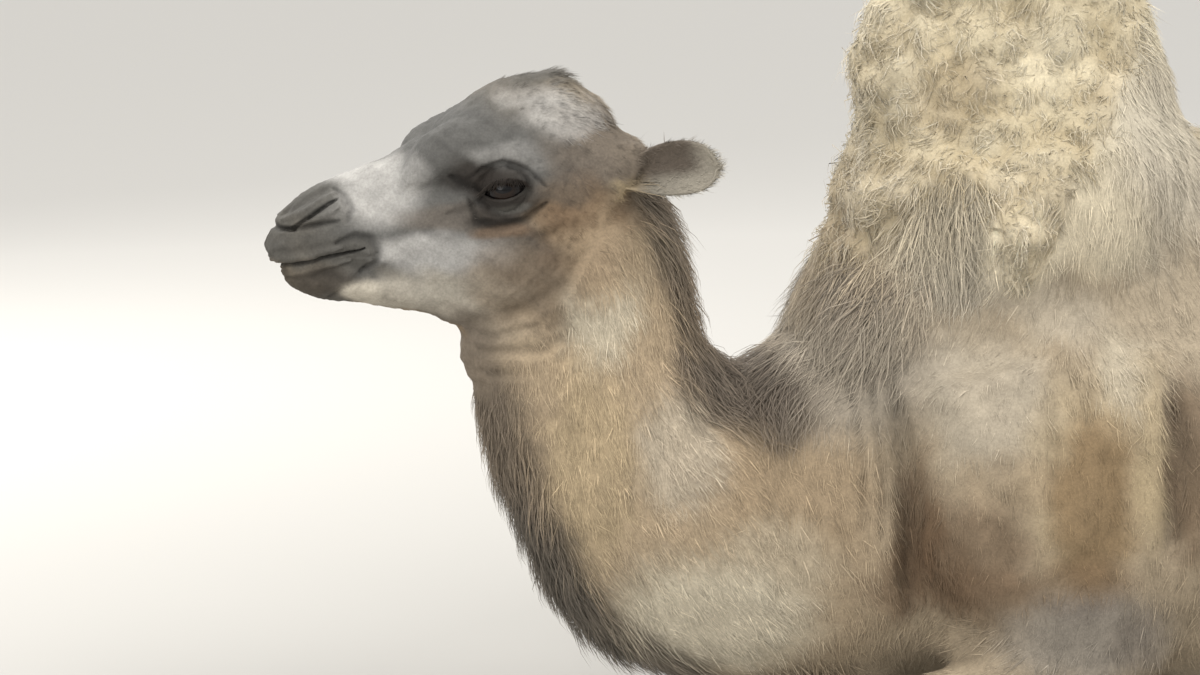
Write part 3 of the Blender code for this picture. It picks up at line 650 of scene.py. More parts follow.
# Folds as lines (a, z) seen from the side: half width, depth, darkening by painted shade in the fold and
# reach (from, to) in y.
FOLDS = [
    ("mouth", ((-0.030, 0.5205), (-0.005, 0.5215), (0.009, 0.524), (0.031, 0.528), (0.046, 0.531),
               (0.052, 0.534), (0.067, 0.537), (0.083, 0.540), (0.094, 0.544)), 0.0034, 0.0072,
     0.62, 0.0, 0.08),
    ("lip corner fold", ((0.066, 0.549), (0.084, 0.556), (0.098, 0.553), (0.107, 0.542),
                         (0.104, 0.529), (0.090, 0.520)), 0.0075, 0.0035, 0.42, 0.02, 0.08),
    ("nostril", ((0.020, 0.562), (0.036, 0.572), (0.049, 0.581), (0.060, 0.588), (0.069, 0.592)),
     0.0029, 0.0074, 0.74, 0.012, 0.06),
    ("nostril floor", ((0.012, 0.563), (0.028, 0.564), (0.043, 0.567), (0.055, 0.569),
                       (0.070, 0.571)), 0.0046, 0.0038, 0.55, 0.010, 0.06),
    ("nose notch", ((-0.030, 0.566), (-0.006, 0.565), (0.010, 0.563), (0.026, 0.562)), 0.0065,
     0.0042, 0.40, -0.01, 0.05),
    ("nose wing", ((0.066, 0.601), (0.075, 0.594), (0.081, 0.582), (0.078, 0.570)), 0.0065,
     0.0030, 0.32, 0.020, 0.07),
    ("nostril lid", ((0.012, 0.574), (0.034, 0.586), (0.060, 0.600)), 0.0070, 0.0020, 0.15,
     0.010, 0.06),
    ("upper lip roll", ((0.006, 0.540), (0.030, 0.543), (0.066, 0.549)), 0.0070, 0.0011, 0.07,
     0.010, 0.06),
    ("lower lip roll", ((0.020, 0.513), (0.048, 0.517), (0.078, 0.529)), 0.0055, 0.0018, 0.15,
     0.010, 0.06),
    ("lip split", ((-0.010, 0.565), (-0.004, 0.545), (0.000, 0.530)), 0.0200, 0.0035, 0.40,
     -0.01, 0.0035),
    ("chin crease", ((0.058, 0.490), (0.074, 0.503), (0.094, 0.522)), 0.0070, 0.0030, 0.10,
     0.010, 0.06),
    ("lower lid crease", ((0.192, 0.592), (0.200, 0.572), (0.222, 0.565), (0.246, 0.571),
                          (0.268, 0.588)), 0.0070, 0.0032, 0.50, 0.02, 0.12),
    ("upper lid crease", ((0.190, 0.612), (0.206, 0.622), (0.226, 0.628), (0.250, 0.620),
                          (0.268, 0.604)), 0.0055, 0.0026, 0.30, 0.02, 0.12),
    ("front of the eye", ((0.176, 0.614), (0.190, 0.606), (0.204, 0.600)), 0.0085, 0.0040, 0.45,
     0.02, 0.12),
    ("tear groove", ((0.206, 0.594), (0.190, 0.583), (0.172, 0.577)), 0.0060, 0.0022, 0.25,
     0.02, 0.10),
    ("throat fold one", ((0.186, 0.446), (0.214, 0.436), (0.262, 0.440), (0.300, 0.462)),
     0.0090, 0.0029, 0.16, 0.025, 0.12),
    ("throat fold two", ((0.188, 0.424), (0.220, 0.414), (0.262, 0.420)), 0.0080, 0.0022, 0.11,
     0.025, 0.12),
    ("throat fold three", ((0.184, 0.460), (0.220, 0.452), (0.262, 0.466)), 0.0070, 0.0021, 0.13,
     0.025, 0.12),
    ("jaw angle", ((0.220, 0.474), (0.256, 0.480), (0.290, 0.506), (0.312, 0.545)), 0.0130,
     0.0040, 0.10, 0.03, 0.12),
    ("shoulder crease", ((0.602, 0.425), (0.609, 0.330), (0.614, 0.250), (0.622, 0.170)), 0.0190,
     0.0130, 0.42, 0.06, 0.40),
    ("breast fold one", ((0.584, 0.430), (0.589, 0.340), (0.592, 0.250)), 0.0085, 0.0055, 0.28,
     0.06, 0.40),
    ("breast fold two", ((0.566, 0.410), (0.572, 0.330), (0.574, 0.260)), 0.0080, 0.0042, 0.20,
     0.06, 0.40),
    ("patch edge", ((0.742, 0.410), (0.746, 0.350), (0.742, 0.280)), 0.0120, 0.0040, 0.10,
     0.10, 0.40),
    ("arm front", ((0.690, 0.360), (0.706, 0.290), (0.700, 0.220)), 0.0260, 0.0070, 0.10,
     0.10, 0.40),
    ("behind the arm", ((0.868, 0.420), (0.872, 0.330), (0.862, 0.230)), 0.0260, 0.0160, 0.30,
     0.08, 0.40),
]
OPENINGS = ("mouth", "nostril")
# Soft raised ridges, in the same way: half width and height.
RIDGES = [
    ("brow", ((0.190, 0.630), (0.222, 0.639), (0.262, 0.628)), 0.0120, 0.0035, 0.03, 0.12),
    ("cheek ridge", ((0.150, 0.560), (0.200, 0.556), (0.250, 0.562), (0.300, 0.575)), 0.0140,
     0.0025, 0.03, 0.12),
    ("nostril rim", ((0.016, 0.570), (0.036, 0.580), (0.068, 0.597)), 0.0060, 0.0026, 0.01, 0.06),
    ("nostril flap", ((0.034, 0.569), (0.052, 0.576), (0.068, 0.583)), 0.0065, 0.0030, 0.01, 0.06),
    ("upper lip edge", ((0.000, 0.531), (0.035, 0.535), (0.072, 0.545)), 0.0060, 0.0022, 0.01,
     0.08),
    ("lower lip edge", ((0.006, 0.515), (0.040, 0.520), (0.080, 0.532)), 0.0070, 0.0026, 0.01,
     0.08),
    ("lip corner swell", ((0.086, 0.548), (0.098, 0.538)), 0.0090, 0.0030, 0.02, 0.08),
    ("shoulder blade", ((0.640, 0.430), (0.680, 0.360), (0.720, 0.300)), 0.0380, 0.0070, 0.1, 0.4),
    ("upper arm", ((0.790, 0.380), (0.780, 0.300), (0.760, 0.240)), 0.0420, 0.0080, 0.1, 0.4),
]
# Soft shifts of the skin: middle (a, y, z), radii and shift (back, up).
SHIFTS = [
    ("lower lip", (0.030, 0.00, 0.500), (0.085, 0.09, 0.042), (0.000, 0.0055)),
    ("brow", (0.170, 0.030, 0.645), (0.052, 0.06, 0.042), (-0.003, 0.0120)),
    ("poll", (0.338, 0.000, 0.690), (0.050, 0.09, 0.060), (-0.008, -0.0110)),
    ("throat", (0.205, 0.000, 0.370), (0.045, 0.08, 0.110), (-0.0080, 0.000)),
    ("brisket", (0.300, 0.000, 0.150), (0.090, 0.08, 0.080), (-0.0080, -0.004)),
    ("hump front", (0.550, 0.000, 0.590), (0.080, 0.20, 0.080), (-0.0190, 0.000)),
    ("hump brow", (0.590, 0.000, 0.765), (0.090, 0.30, 0.150), (-0.0290, 0.000)),
    ("gullet", (0.200, 0.000, 0.452), (0.045, 0.07, 0.040), (-0.0080, -0.005)),
    ("hump back", (0.915, 0.000, 0.790), (0.060, 0.30, 0.110), (-0.0150, 0.000)),
]
# Soft swells of the skin: middle, radii and rise along its normal.
SWELLS = [
    ("fore cannon", (0.660, 0.16, 0.035), (0.110, 0.07, 0.050), -0.0045),
    ("fore pad", (0.865, 0.17, 0.016), (0.045, 0.07, 0.026), 0.0035),
    ("hind pad", (1.130, 0.235, 0.016), (0.045, 0.07, 0.026), 0.0035),
    ("fore toe cleft", (0.905, 0.169, 0.022), (0.040, 0.008, 0.035), -0.0070),
    ("hind toe cleft", (1.088, 0.238, 0.022), (0.040, 0.008, 0.035), -0.0070),
    ("fore fetlock", (0.815, 0.17, 0.030), (0.035, 0.06, 0.040), 0.0030),
    ("knee", (0.500, 0.15, 0.045), (0.050, 0.07, 0.050), 0.0030),
    ("hind cannon", (1.330, 0.22, 0.035), (0.120, 0.07, 0.050), -0.0040),
    ("hind fetlock", (1.190, 0.235, 0.030), (0.035, 0.06, 0.040), 0.0030),
    ("hock", (1.500, 0.19, 0.050), (0.050, 0.07, 0.050), 0.0030),
    ("thigh", (1.380, 0.22, 0.300), (0.100, 0.12, 0.120), 0.0060),
    ("flank hollow", (1.190, 0.21, 0.330), (0.060, 0.12, 0.090), -0.0080),
    ("hip", (1.360, 0.13, 0.490), (0.040, 0.07, 0.045), 0.0070),
    ("beside the tail", (1.550, 0.07, 0.380), (0.050, 0.05, 0.070), -0.0060),
    ("wool lobe", (0.724, 0.17, 0.548), (0.026, 0.10, 0.048), 0.0140),
    ("wool front clump", (0.580, 0.13, 0.572), (0.055, 0.12, 0.045), 0.0130),
]
# A fold wider than this has its depth run out at both ends.
BROAD_FOLD = 0.0098


def line_weight(place, line, half, low, high):
    """1 on the line and 0 past its half width, which tapers to its ends, within its reach in y."""
    away, share = along_line(place[:, [0, 2]], line)
    bow = np.sin(math.pi * share)
    weight = fade(away / (half * (0.30 + 0.70 * bow ** 0.7)), 0.0, 1.0)
    if half > BROAD_FOLD:
        weight = weight * np.minimum(bow / 0.5, 1.0)
    within = fade((low - place[:, 1]) / 0.004, 0.0, 1.0) if low > 0 else 1.0
    return weight * within * fade((place[:, 1] - high) / 0.004, 0.0, 1.0)


def skin_shade(place):
    """Painted shade: darkening of the skin in its folds."""
    dark = np.ones(len(place))
    for name, line, half, depth, shade, low, high in FOLDS:
        dark *= 1 - shade * line_weight(place, line, half * 1.15, low, high)
    return dark


def near_fine_fold(place):
    """True next to the mouth and nostril lines."""
    return np.any([near_line(place, line) < 0.009 for name, line, *rest in FOLDS
                   if name in OPENINGS], axis=0)


def near_muzzle(place):
    """True on the muzzle."""
    return (place[:, 0] < 0.125) & (place[:, 2] > 0.47)


# ---------------------------------------------------------------- eyes and ears

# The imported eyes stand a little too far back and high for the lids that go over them.
EYE_SHIFT = Vector((-0.0052, 0.0, -0.0012))
EYE_MIDDLE = {name: (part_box(f"eye_{name}")[0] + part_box(f"eye_{name}")[1]) / 2 + EYE_SHIFT
              for name in SIDES}
# Front and rear corner of the opening, as (back, up) from the middle of the eye.
LID_CORNERS = ((-0.0205, -0.0025), (0.0220, 0.0015))
UPPER_LID_RISE = 0.0100
LOWER_LID_DROP = 0.0104
# Height of a lid's rim, and how far outside the opening it stands highest.
LID_RIM = 0.0012
# The lids run out into the face at this distance from the middle of the eye.
LID_REACH = 0.0330
# The skin between the lids lies this far behind the ball's front, out to this radius.
SOCKET_DEPTH = 0.0045
SOCKET_RADIUS = 0.019
EAR_ROOT = (0.350, 0.050, 0.608)
EAR_TIPS = {"left": (0.433, 0.102, 0.623), "right": (0.384, 0.138, 0.598)}
EAR_HALF_WIDTH = 0.0300
EAR_WALL = 0.0034
EAR_CUP = 0.020
EAR_BOW = 0.011


def eye_axes(side):
    """Outward, back and up directions of one eye."""
    out = Vector((-0.20, SIDES[side], 0.06)).normalized()
    back = Vector((1.0, 0.0, 0.10))
    back = (back - out * back.dot(out)).normalized()
    return np.array([out, back, np.array(out.cross(back)) * -SIDES[side]])


def lid_edges(t):
    """Heights of the lower and the upper lid's edge at each share of the way between the corners."""
    front_z, rear_z = LID_CORNERS[0][1], LID_CORNERS[1][1]
    chord = front_z + (rear_z - front_z) * t
    arch = np.sqrt(np.maximum(4 * t * (1 - t), 0.0))
    arch = arch * (0.75 + 0.25 * arch)
    return (chord - LOWER_LID_DROP * arch * (0.88 + 0.24 * t),
            chord + UPPER_LID_RISE * arch * (1.12 - 0.24 * t))


def lid_gap(back, up):
    """How far a place lies outside the almond between the lids. It is negative inside."""
    front_x, rear_x = LID_CORNERS[0][0], LID_CORNERS[1][0]
    lower, upper = lid_edges(np.clip((back - front_x) / (rear_x - front_x), 0.0, 1.0))
    beside = np.maximum(front_x - back, back - rear_x)
    return np.maximum(np.maximum(up - upper, lower - up), beside)


def eye_measure(points, side):
    """Points as (out, back, up) from the middle of one eye."""
    return (points - np.array(EYE_MIDDLE[side])) @ eye_axes(side).T


def shape_lids(points, side):
    """Draws the skin round one eye over the ball as lids, and sinks it behind the ball between them."""
    sizes = bpy.context.scene.camel_sizes
    local = eye_measure(points, side)
    out, back, up = local.T
    reach = np.hypot(back, up)
    near = (reach < 0.060) & (out > -0.035)
    out, back, up, reach = out[near], back[near], up[near], reach[near]
    gap = lid_gap(back, up)
    ball = sizes.eye_radius + sizes.lid_thickness
    dome = np.sqrt(np.maximum(ball ** 2 - np.minimum(reach, ball * 0.98) ** 2, 0.0))
    lid = dome + LID_RIM * fade(np.abs(gap - LID_RIM) / 0.0022, 0.0, 1.0)
    cling = fade(reach / LID_REACH, 0.50, 1.0)
    outside = np.where(lid > out, out + (lid - out) * cling, out + (lid - out) * cling * 0.9)
    sunk = np.sqrt(np.maximum(sizes.eye_radius ** 2 - np.minimum(reach, SOCKET_RADIUS) ** 2, 0))
    inside = fade((gap + 0.0016) / 0.0014, -0.5, 0.5)
    local[near, 0] = mixed(outside, sunk - SOCKET_DEPTH, inside)
    return local @ eye_axes(side) + np.array(EYE_MIDDLE[side])


def near_eye(place, radius):
    """True within a radius of the middle of the eye."""
    middle = own_measure(np.array([EYE_MIDDLE["left"]]))[0]
    return np.linalg.norm(place - middle, axis=1) < radius


def ear_line(side):
    """Middle line of an ear in the frame, from its root to its tip."""
    return np.array([to_frame(a, y * SIDES[side], z) for a, y, z in (EAR_ROOT, EAR_TIPS[side])])


def ear_hollow(side):
    """The way that the hollow of an ear looks."""
    return (-0.15, SIDES[side], 0.25)


def ear_mesh(side):
    """A cupped ear from a flat grid: leaf outline, hollow side turned out, and a thin wall."""
    base, tip = (Vector(point) for point in ear_line(side))
    along = tip - base
    length = along.length
    along.normalize()
    hollow = Vector(ear_hollow(side))
    hollow = (hollow - along * hollow.dot(along)).normalized()
    across = along.cross(hollow)
    leaf = bmesh.new()
    bmesh.ops.create_grid(leaf, x_segments=26, y_segments=18, size=1.0)
    for vert in leaf.verts:
        t = (vert.co.x + 1) / 2
        s = vert.co.y
        half = EAR_HALF_WIDTH * (0.50 + 0.50 * math.sin(math.pi * min(1.0, t / 0.50) / 2))
        half *= math.sqrt(max(0.0, 1 - max(0.0, (t - 0.50) / 0.50) ** 2.4)) * 0.985 + 0.015
        bow = EAR_BOW * math.sin(math.pi * t)
        cup = (EAR_CUP * (1 - 0.55 * t)) * s * s
        curl = 1 - 0.16 * s * s * (1 - t)
        lift = Vector((0, 0, 0.004 * math.sin(math.pi * t)))
        vert.co = (base + along * (length * t) + across * (half * s * curl)
                   + hollow * (cup - 0.006 - bow * 0.5) + lift)
    bmesh.ops.recalc_face_normals(leaf, faces=leaf.faces)
    bmesh.ops.solidify(leaf, geom=leaf.faces[:], thickness=EAR_WALL)
    for step in range(2):
        bmesh.ops.smooth_vert(leaf, verts=leaf.verts, factor=0.4, use_axis_x=True,
                              use_axis_y=True, use_axis_z=True)
    bmesh.ops.recalc_face_normals(leaf, faces=leaf.faces)
    if leaf.calc_volume(signed=True) < 0:
        bmesh.ops.reverse_faces(leaf, faces=leaf.faces)
    leaf.normal_update()
    return mesh_from(leaf, f"ear_{side}_leaf")


def ear_part(points, side):
    """True on the ear, and how far along it each point lies."""
    start, end = ear_line(side)
    run = end - start
    t = (points - start) @ run / (run @ run)
    away = np.linalg.norm(points - start - t[:, None] * run, axis=1)
    return (t > 0.16) & (t < 1.10) & (away < 0.042), t


def on_ears(points):
    """True on either ear."""
    return np.any([ear_part(points, side)[0] for side in SIDES], axis=0)


# ---------------------------------------------------------------- clumps of wool

# Smallest and largest reach of a domed clump of wool, how close two of them come as a share of
# their reaches, and how many places are tried.
CLUMP_REACH = (0.015, 0.036)
CLUMP_SPACING = 0.80
CLUMP_TRIES = 12000
# Middle and reach of each clump, scattered once over the humps.
CLUMPS = []


def clump_place(points):
    """The points, shifted a little so that the clumps' edges wander."""
    return points + 0.007 * np.column_stack([ripple(points, 0.045, seed) for seed in (25, 26, 27)])


def scatter_clumps(points, woolly):
    """Places the clumps on the humps, none too close to another."""
    rng = np.random.default_rng(24)
    wander = clump_place(points)
    CLUMPS.clear()
    for index in rng.permutation(np.flatnonzero(woolly > 0.3))[:CLUMP_TRIES]:
        middle, size = wander[index], rng.uniform(*CLUMP_REACH)
        if all(np.sum((middle - other) ** 2) > (CLUMP_SPACING * (size + reach)) ** 2
               for other, reach in CLUMPS):
            CLUMPS.append((middle, size))


def wool_clumps(points):
    """Height, up to 1, on the domed clumps of wool, and each point's clump."""
    wander = clump_place(points)
    middles = np.array([middle for middle, size in CLUMPS])
    reaches = np.array([size for middle, size in CLUMPS])
    height, owner = np.empty(len(points)), np.empty(len(points), int)
    for part in chunks(len(points)):
        away = np.linalg.norm(wander[part, None] - middles[None], axis=2) / reaches
        owner[part] = away.argmin(axis=1)
        height[part] = np.sqrt(np.clip(1 - (away.min(axis=1) / 1.30) ** 2, 0.25, 1.0))
    return height, owner


def woolly_colours(points, colours):
    """Wool with painted shade from its clumps: pale on their tops, and a painted golden-brown shade in
    the creases between them, over a tan share and tone that differ from clump to clump.
    """
    palette = bpy.context.scene.camel_colours
    height, owner = wool_clumps(points)
    rng = np.random.default_rng(55)
    tone = rng.normal(1.0, 0.07, len(CLUMPS)).clip(0.8, 1.2)[owner]
    tan = rng.uniform(0.0, 0.26, len(CLUMPS))[owner] + 0.14 * (1 + ripple(points, 0.10, 30))
    # Painted shade: the golden-brown share grows into the creases, where the clump is low, and the
    # crease colour darkens there too.
    share = np.clip(tan + 0.70 * (1 - height) ** 1.4, 0.0, 0.95)[:, None]
    crease = np.array(palette.gold) * (0.68 + 0.32 * height)[:, None]
    return mixed(colours, crease, share) * tone[:, None]


# ---------------------------------------------------------------- skin

def onto_solids(points, chosen):
    """The points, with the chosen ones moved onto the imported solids."""
    solids = merged_copy(SMOOTH_FLESH, swell=0.0)
    tree = BVHTree.FromPolygons([vert.co[:] for vert in solids.vertices],
                                [polygon.vertices[:] for polygon in solids.polygons])
    for index in np.flatnonzero(chosen):
        found = tree.find_nearest(points[index], 0.006)[0]
        if found is not None:
            points[index] = found
    return points


def joined_flesh():
    """Voxel union of the flesh, finer on the head and finest round eyes, nostrils and mouth."""
    sizes = bpy.context.scene.camel_sizes
    mesh = modified(merged_copy(SMOOTH_FLESH, swell=0.0004), "REMESH", mode="VOXEL",
                    voxel_size=sizes.skin_voxel, adaptivity=0.0, use_smooth_shade=True)
    largest_only(mesh)
    set_points(mesh, relaxed(mesh, points_of(mesh), 3))
    refine(mesh, lambda place: is_head(place) > 0.02)
    refine(mesh, lambda place: (is_head(place) > 0.5) & (place[:, 0] < 0.30))
    points = points_of(mesh)
    head = is_head(own_measure(points)) > 0.02
    points = onto_solids(points, head)
    points = relaxed(mesh, points, 5, held=np.where(head, 0.0, 0.75))
    place = own_measure(points)
    for name, middle, radii, (back, up) in SHIFTS:
        weight = zone(place, middle, radii, 0.35, 1.25)
        points[:, 0] += back * weight
        points[:, 2] += up * weight
    set_points(mesh, points)
    refine(mesh, lambda place: near_eye(place, 0.036))
    refine(mesh, lambda place: (near_eye(place, 0.029)
                                | (near_muzzle(place) & near_fine_fold(place))))
    return mesh


def sunk_points(mesh):
    """The skin's points under the coat, smooth where the humps rise, and lumpy under the wool."""
    points = points_of(mesh)
    place = own_measure(points)
    points = points - normals_of(mesh) * coat_depth(place)[:, None]
    set_points(mesh, points)
    points = relaxed(mesh, points, 3, held=is_head(place) * 0.8)
    hump_base = fade(np.abs(place[:, 2] - 0.525) / 0.080, 0.4, 1.2) * (place[:, 0] > 0.60)
    points = relaxed(mesh, points, 50, held=1 - hump_base)
    set_points(mesh, points)
    woolly = is_wool(own_measure(points))
    scatter_clumps(points, woolly)
    lumps = (0.012 * (wool_clumps(points)[0] - 0.65) + 0.0025 * ripple(points, 0.060, 29)
             + 0.004 * ripple(points, 0.12, 22))
    return points + normals_of(mesh) * (lumps * woolly)[:, None]


def formed_points(mesh, points):
    """The skin's points with its folds, ridges and swells, and fine unevenness on the head."""
    place, normals = own_measure(points), normals_of(mesh)
    push = np.zeros(len(points))
    for name, line, half, depth, shade, low, high in FOLDS:
        push -= depth * line_weight(place, line, half, low, high)
    for name, line, half, height, low, high in RIDGES:
        push += height * line_weight(place, line, half, low, high)
    for name, middle, radii, rise in SWELLS:
        push += rise * zone(place, middle, radii, 0.2, 1.2)
    push += 0.0005 * ripple(points, 0.012, 23) * is_head(place)
    return above_floor(points + normals * push[:, None])


def build_skin():
    """The one skin: joined flesh, sunk by the coat's depth, with lids, folds and ears."""
    mesh = joined_flesh()
    points = sunk_points(mesh)
    for side in SIDES:
        points = shape_lids(points, side)
    set_points(mesh, points)
    set_points(mesh, formed_points(mesh, points))
    mesh.calc_loop_triangles()
    mesh = modified(mesh, "DECIMATE", ratio=SKIN_FACES / len(mesh.loop_triangles))
    for side in SIDES:
        mesh = united(mesh, ear_mesh(side))
    points = points_of(mesh)
    for side in SIDES:
        root = ear_line(side)[0]
        held = 1 - fade(np.linalg.norm(points - root, axis=1) / 0.024, 0.6, 1.3)
        points = relaxed(mesh, points, 4, held=held)
    set_points(mesh, points)
    return mesh


def skin_colours(points, normals):
    """Body markings, with the wool's clumps and their painted shade, and the ears' pale rims with
    painted shade in their hollows.
    """
    colours = coat_colours(points)
    palette = bpy.context.scene.camel_colours
    wool = is_wool(own_measure(points))[:, None]
    colours = mixed(colours, woolly_colours(points, colours), wool)
    for side in SIDES:
        on_ear, t = ear_part(points, side)
        start, end = ear_line(side)
        high = points[:, 2] - (start[2] + (end[2] - start[2]) * t)
        hollow = np.array(ear_hollow(side))
        # Painted shade in the ears' cups: the hollow side darkened over its upper, inner part.
        inner = fade((0.1 - normals @ (hollow / np.linalg.norm(hollow))) / 0.5, 0.0, 1.0)
        dark = fade(t / 0.84, 0.70, 1.05) * fade((-0.002 - high) / 0.012, -0.6, 0.6)
        dark = np.maximum(dark, fade((high - 0.019) / 0.008, 1.0, 0.0) * fade(t, 0.5, 0.9)) * inner
        pale = np.array(palette.silver) * (0.33 + 0.42 * np.clip(t, 0, 1))[:, None]
        weight = (on_ear * fade((0.30 - t) / 0.20, 0.0, 1.0))[:, None]
        colours = mixed(colours, mixed(pale, np.array(palette.umber), dark[:, None]), weight)
    return colours


# ---------------------------------------------------------------- materials

def set_sockets(node, values):
    """Sets values on the node's own sockets."""
    for name, value in values.items():
        node.inputs[name].default_value = value


def new_material(name, values):
    """A material whose shader has these values, with its node tree and its shader."""
    material = bpy.data.materials.new(name)
    material.use_nodes = True
    shader = material.node_tree.nodes["Principled BSDF"]
    set_sockets(shader, values)
    return material, material.node_tree, shader


def add_node(tree, kind, values=None, joined=None, operation=None):
    """A new node with values on its sockets, and with other nodes' outputs joined to them."""
    node = tree.nodes.new(f"ShaderNode{kind}")
    if operation:
        node.operation = operation
    set_sockets(node, values or {})
    for name, output in (joined or {}).items():
        tree.links.new(output, node.inputs[name])
    return node


def add_ramp(tree, share, first, last, between=()):
    """Output of a colour ramp from the first to the last colour, with stops between them."""
    ramp = add_node(tree, "ValToRGB", joined={"Fac": share})
    stops = ramp.color_ramp.elements
    stops[0].color = (*first, 1)
    stops[1].color = (*last, 1)
    for position, colour in between:
        stops.new(position).color = (*colour, 1)
    return ramp.outputs["Color"]


def add_relief(tree, shader, height, strength, distance):
    """Joins a bump to the shader."""
    bump = add_node(tree, "Bump", {"Strength": strength, "Distance": distance}, {"Height": height})
    tree.links.new(bump.outputs["Normal"], shader.inputs["Normal"])


def coat_material(name, roughness, sheen, grain, bump, low, high):
    """Hair or hide: the marking attribute, broken up by noise, with sheen and a fine bump."""
    material, tree, shader = new_material(name, {
        "Roughness": roughness, "Specular IOR Level": 0.25, "Sheen Weight": sheen,
        "Sheen Roughness": 0.45})
    marking = add_node(tree, "Attribute")
    marking.attribute_name = "marking"
    place = add_node(tree, "TexCoord").outputs["Object"]
    fleck = add_node(tree, "TexNoise", {"Scale": grain, "Detail": 5.0}, {"Vector": place})
    spread = add_node(tree, "MapRange",
                      {"From Min": 0.3, "From Max": 0.7, "To Min": low, "To Max": high},
                      {"Value": fleck.outputs["Fac"]})
    tint = add_node(tree, "VectorMath", None,
                    {0: marking.outputs["Color"], "Scale": spread.outputs["Result"]}, "SCALE")
    tree.links.new(tint.outputs["Vector"], shader.inputs["Base Color"])
    relief = add_node(tree, "TexNoise", {"Scale": grain * 3.0, "Detail": 3.0}, {"Vector": place})
    add_relief(tree, shader, relief.outputs["Fac"], bump, 0.0012)
    return material


def wool_material():
    """Wool: matte, with some light passing through it."""
    material = coat_material("wool", roughness=0.88, sheen=0.15, grain=260.0, bump=0.35,
                             low=0.90, high=1.10)
    set_sockets(material.node_tree.nodes["Principled BSDF"], {
        "Subsurface Weight": 0.35, "Subsurface Scale": 0.008,
        "Subsurface Radius": (1.0, 0.8, 0.55)})
    return material


def stretched_distance(tree, place, stretch):
    """Output of the distance from the origin, after each axis is stretched."""
    flat = add_node(tree, "VectorMath", {1: stretch}, {0: place}, "MULTIPLY")
    length = add_node(tree, "VectorMath", None, {0: flat.outputs["Vector"]}, "LENGTH")
    return length.outputs["Value"]


def eye_material(side):
    """Wet dark eye: brown iris with fine rays, a lying oval pupil and a dark rim."""
    material, tree, shader = new_material(f"eye {side}", {
        "Roughness": 0.12, "Specular IOR Level": 0.10, "Coat Weight": 0.28,
        "Coat Roughness": 0.02})
    back, up = (Vector(axis) for axis in eye_axes(side)[1:])
    turn = Matrix((back, up, back.cross(up))).transposed()
    centred = add_node(tree, "Mapping", joined={
        "Vector": add_node(tree, "TexCoord").outputs["Object"]})
    centred.vector_type = "TEXTURE"
    set_sockets(centred, {"Location": EYE_MIDDLE[side], "Rotation": turn.to_euler()})
    place = centred.outputs["Vector"]
    rays = add_node(tree, "TexNoise", {"Scale": 420.0, "Detail": 3.0}, {"Vector": place})
    reach = add_node(tree, "MapRange", {"From Max": 0.0150},
                     {"Value": stretched_distance(tree, place, (1.0, 1.0, 0.0))})
    iris = add_ramp(tree, reach.outputs["Result"], (0.012, 0.006, 0.004), (0.006, 0.005, 0.005),
                    ((0.50, (0.014, 0.008, 0.005)), (0.78, (0.009, 0.006, 0.005)),
                     (0.86, (0.006, 0.005, 0.005))))
    streak = add_node(tree, "MapRange", {"To Min": 0.55, "To Max": 1.45},
                      {"Value": rays.outputs["Fac"]})
    streaked = add_node(tree, "VectorMath", None, {0: iris, "Scale": streak.outputs["Result"]},
                        "SCALE")
    opening = add_node(tree, "MapRange", {"From Min": 0.0046, "From Max": 0.0054},
                       {"Value": stretched_distance(tree, place, (0.62, 1.25, 0.0))})
    blend = tree.nodes.new("ShaderNodeMix")
    blend.data_type = "RGBA"
    set_sockets(blend, {"A": (0.002, 0.002, 0.003, 1)})
    tree.links.new(opening.outputs["Result"], blend.inputs["Factor"])
    tree.links.new(streaked.outputs["Vector"], blend.inputs["B"])
    tree.links.new(blend.outputs["Result"], shader.inputs["Base Color"])
    return material


def horn_material():
    """Nail horn: dark brown with growth rings."""
    material, tree, shader = new_material("nail horn", {"Roughness": 0.42})
    rings = add_node(tree, "TexWave", {"Scale": 90.0, "Distortion": 3.0, "Detail": 3.0},
                     {"Vector": add_node(tree, "TexCoord").outputs["Object"]})
    tint = add_ramp(tree, rings.outputs["Fac"], (0.035, 0.026, 0.020), (0.110, 0.085, 0.062))
    tree.links.new(tint, shader.inputs["Base Color"])
    add_relief(tree, shader, rings.outputs["Fac"], 0.5, 0.0006)
    return material


def lash_material():
    """Black-brown lash, slightly varied."""
    material, tree, shader = new_material("lash", {"Roughness": 0.45})
    fleck = add_node(tree, "TexNoise", {"Scale": 300.0},
                     {"Vector": add_node(tree, "TexCoord").outputs["Object"]})
    tint = add_ramp(tree, fleck.outputs["Fac"], (0.008, 0.006, 0.005), (0.050, 0.040, 0.032))
    tree.links.new(tint, shader.inputs["Base Color"])
    return material


def floor_material():
    """Pale matte floor, painted darker near the middle, where the lamps light it most, so that it looks
    evenly bright.
    """
    material, tree, shader = new_material("floor", {"Roughness": 0.9})
    length = add_node(tree, "VectorMath", None,
                      {0: add_node(tree, "TexCoord").outputs["Object"]}, "LENGTH")
    reach = add_node(tree, "MapRange", {"From Min": 0.8, "From Max": 4.2},
                     {"Value": length.outputs["Value"]})
    tint = add_ramp(tree, reach.outputs["Result"], (0.400, 0.392, 0.376), (0.780, 0.765, 0.735))
    tree.links.new(tint, shader.inputs["Base Color"])
    return material


def paint(mesh, colours):
    """Writes the colours that the materials read, one a point."""
    layer = mesh.color_attributes.new("marking", "FLOAT_COLOR", "POINT")
    values = np.column_stack([colours, np.ones(len(colours))])
    layer.data.foreach_set("color", values.astype(np.float32).ravel())


# ---------------------------------------------------------------- where hair grows

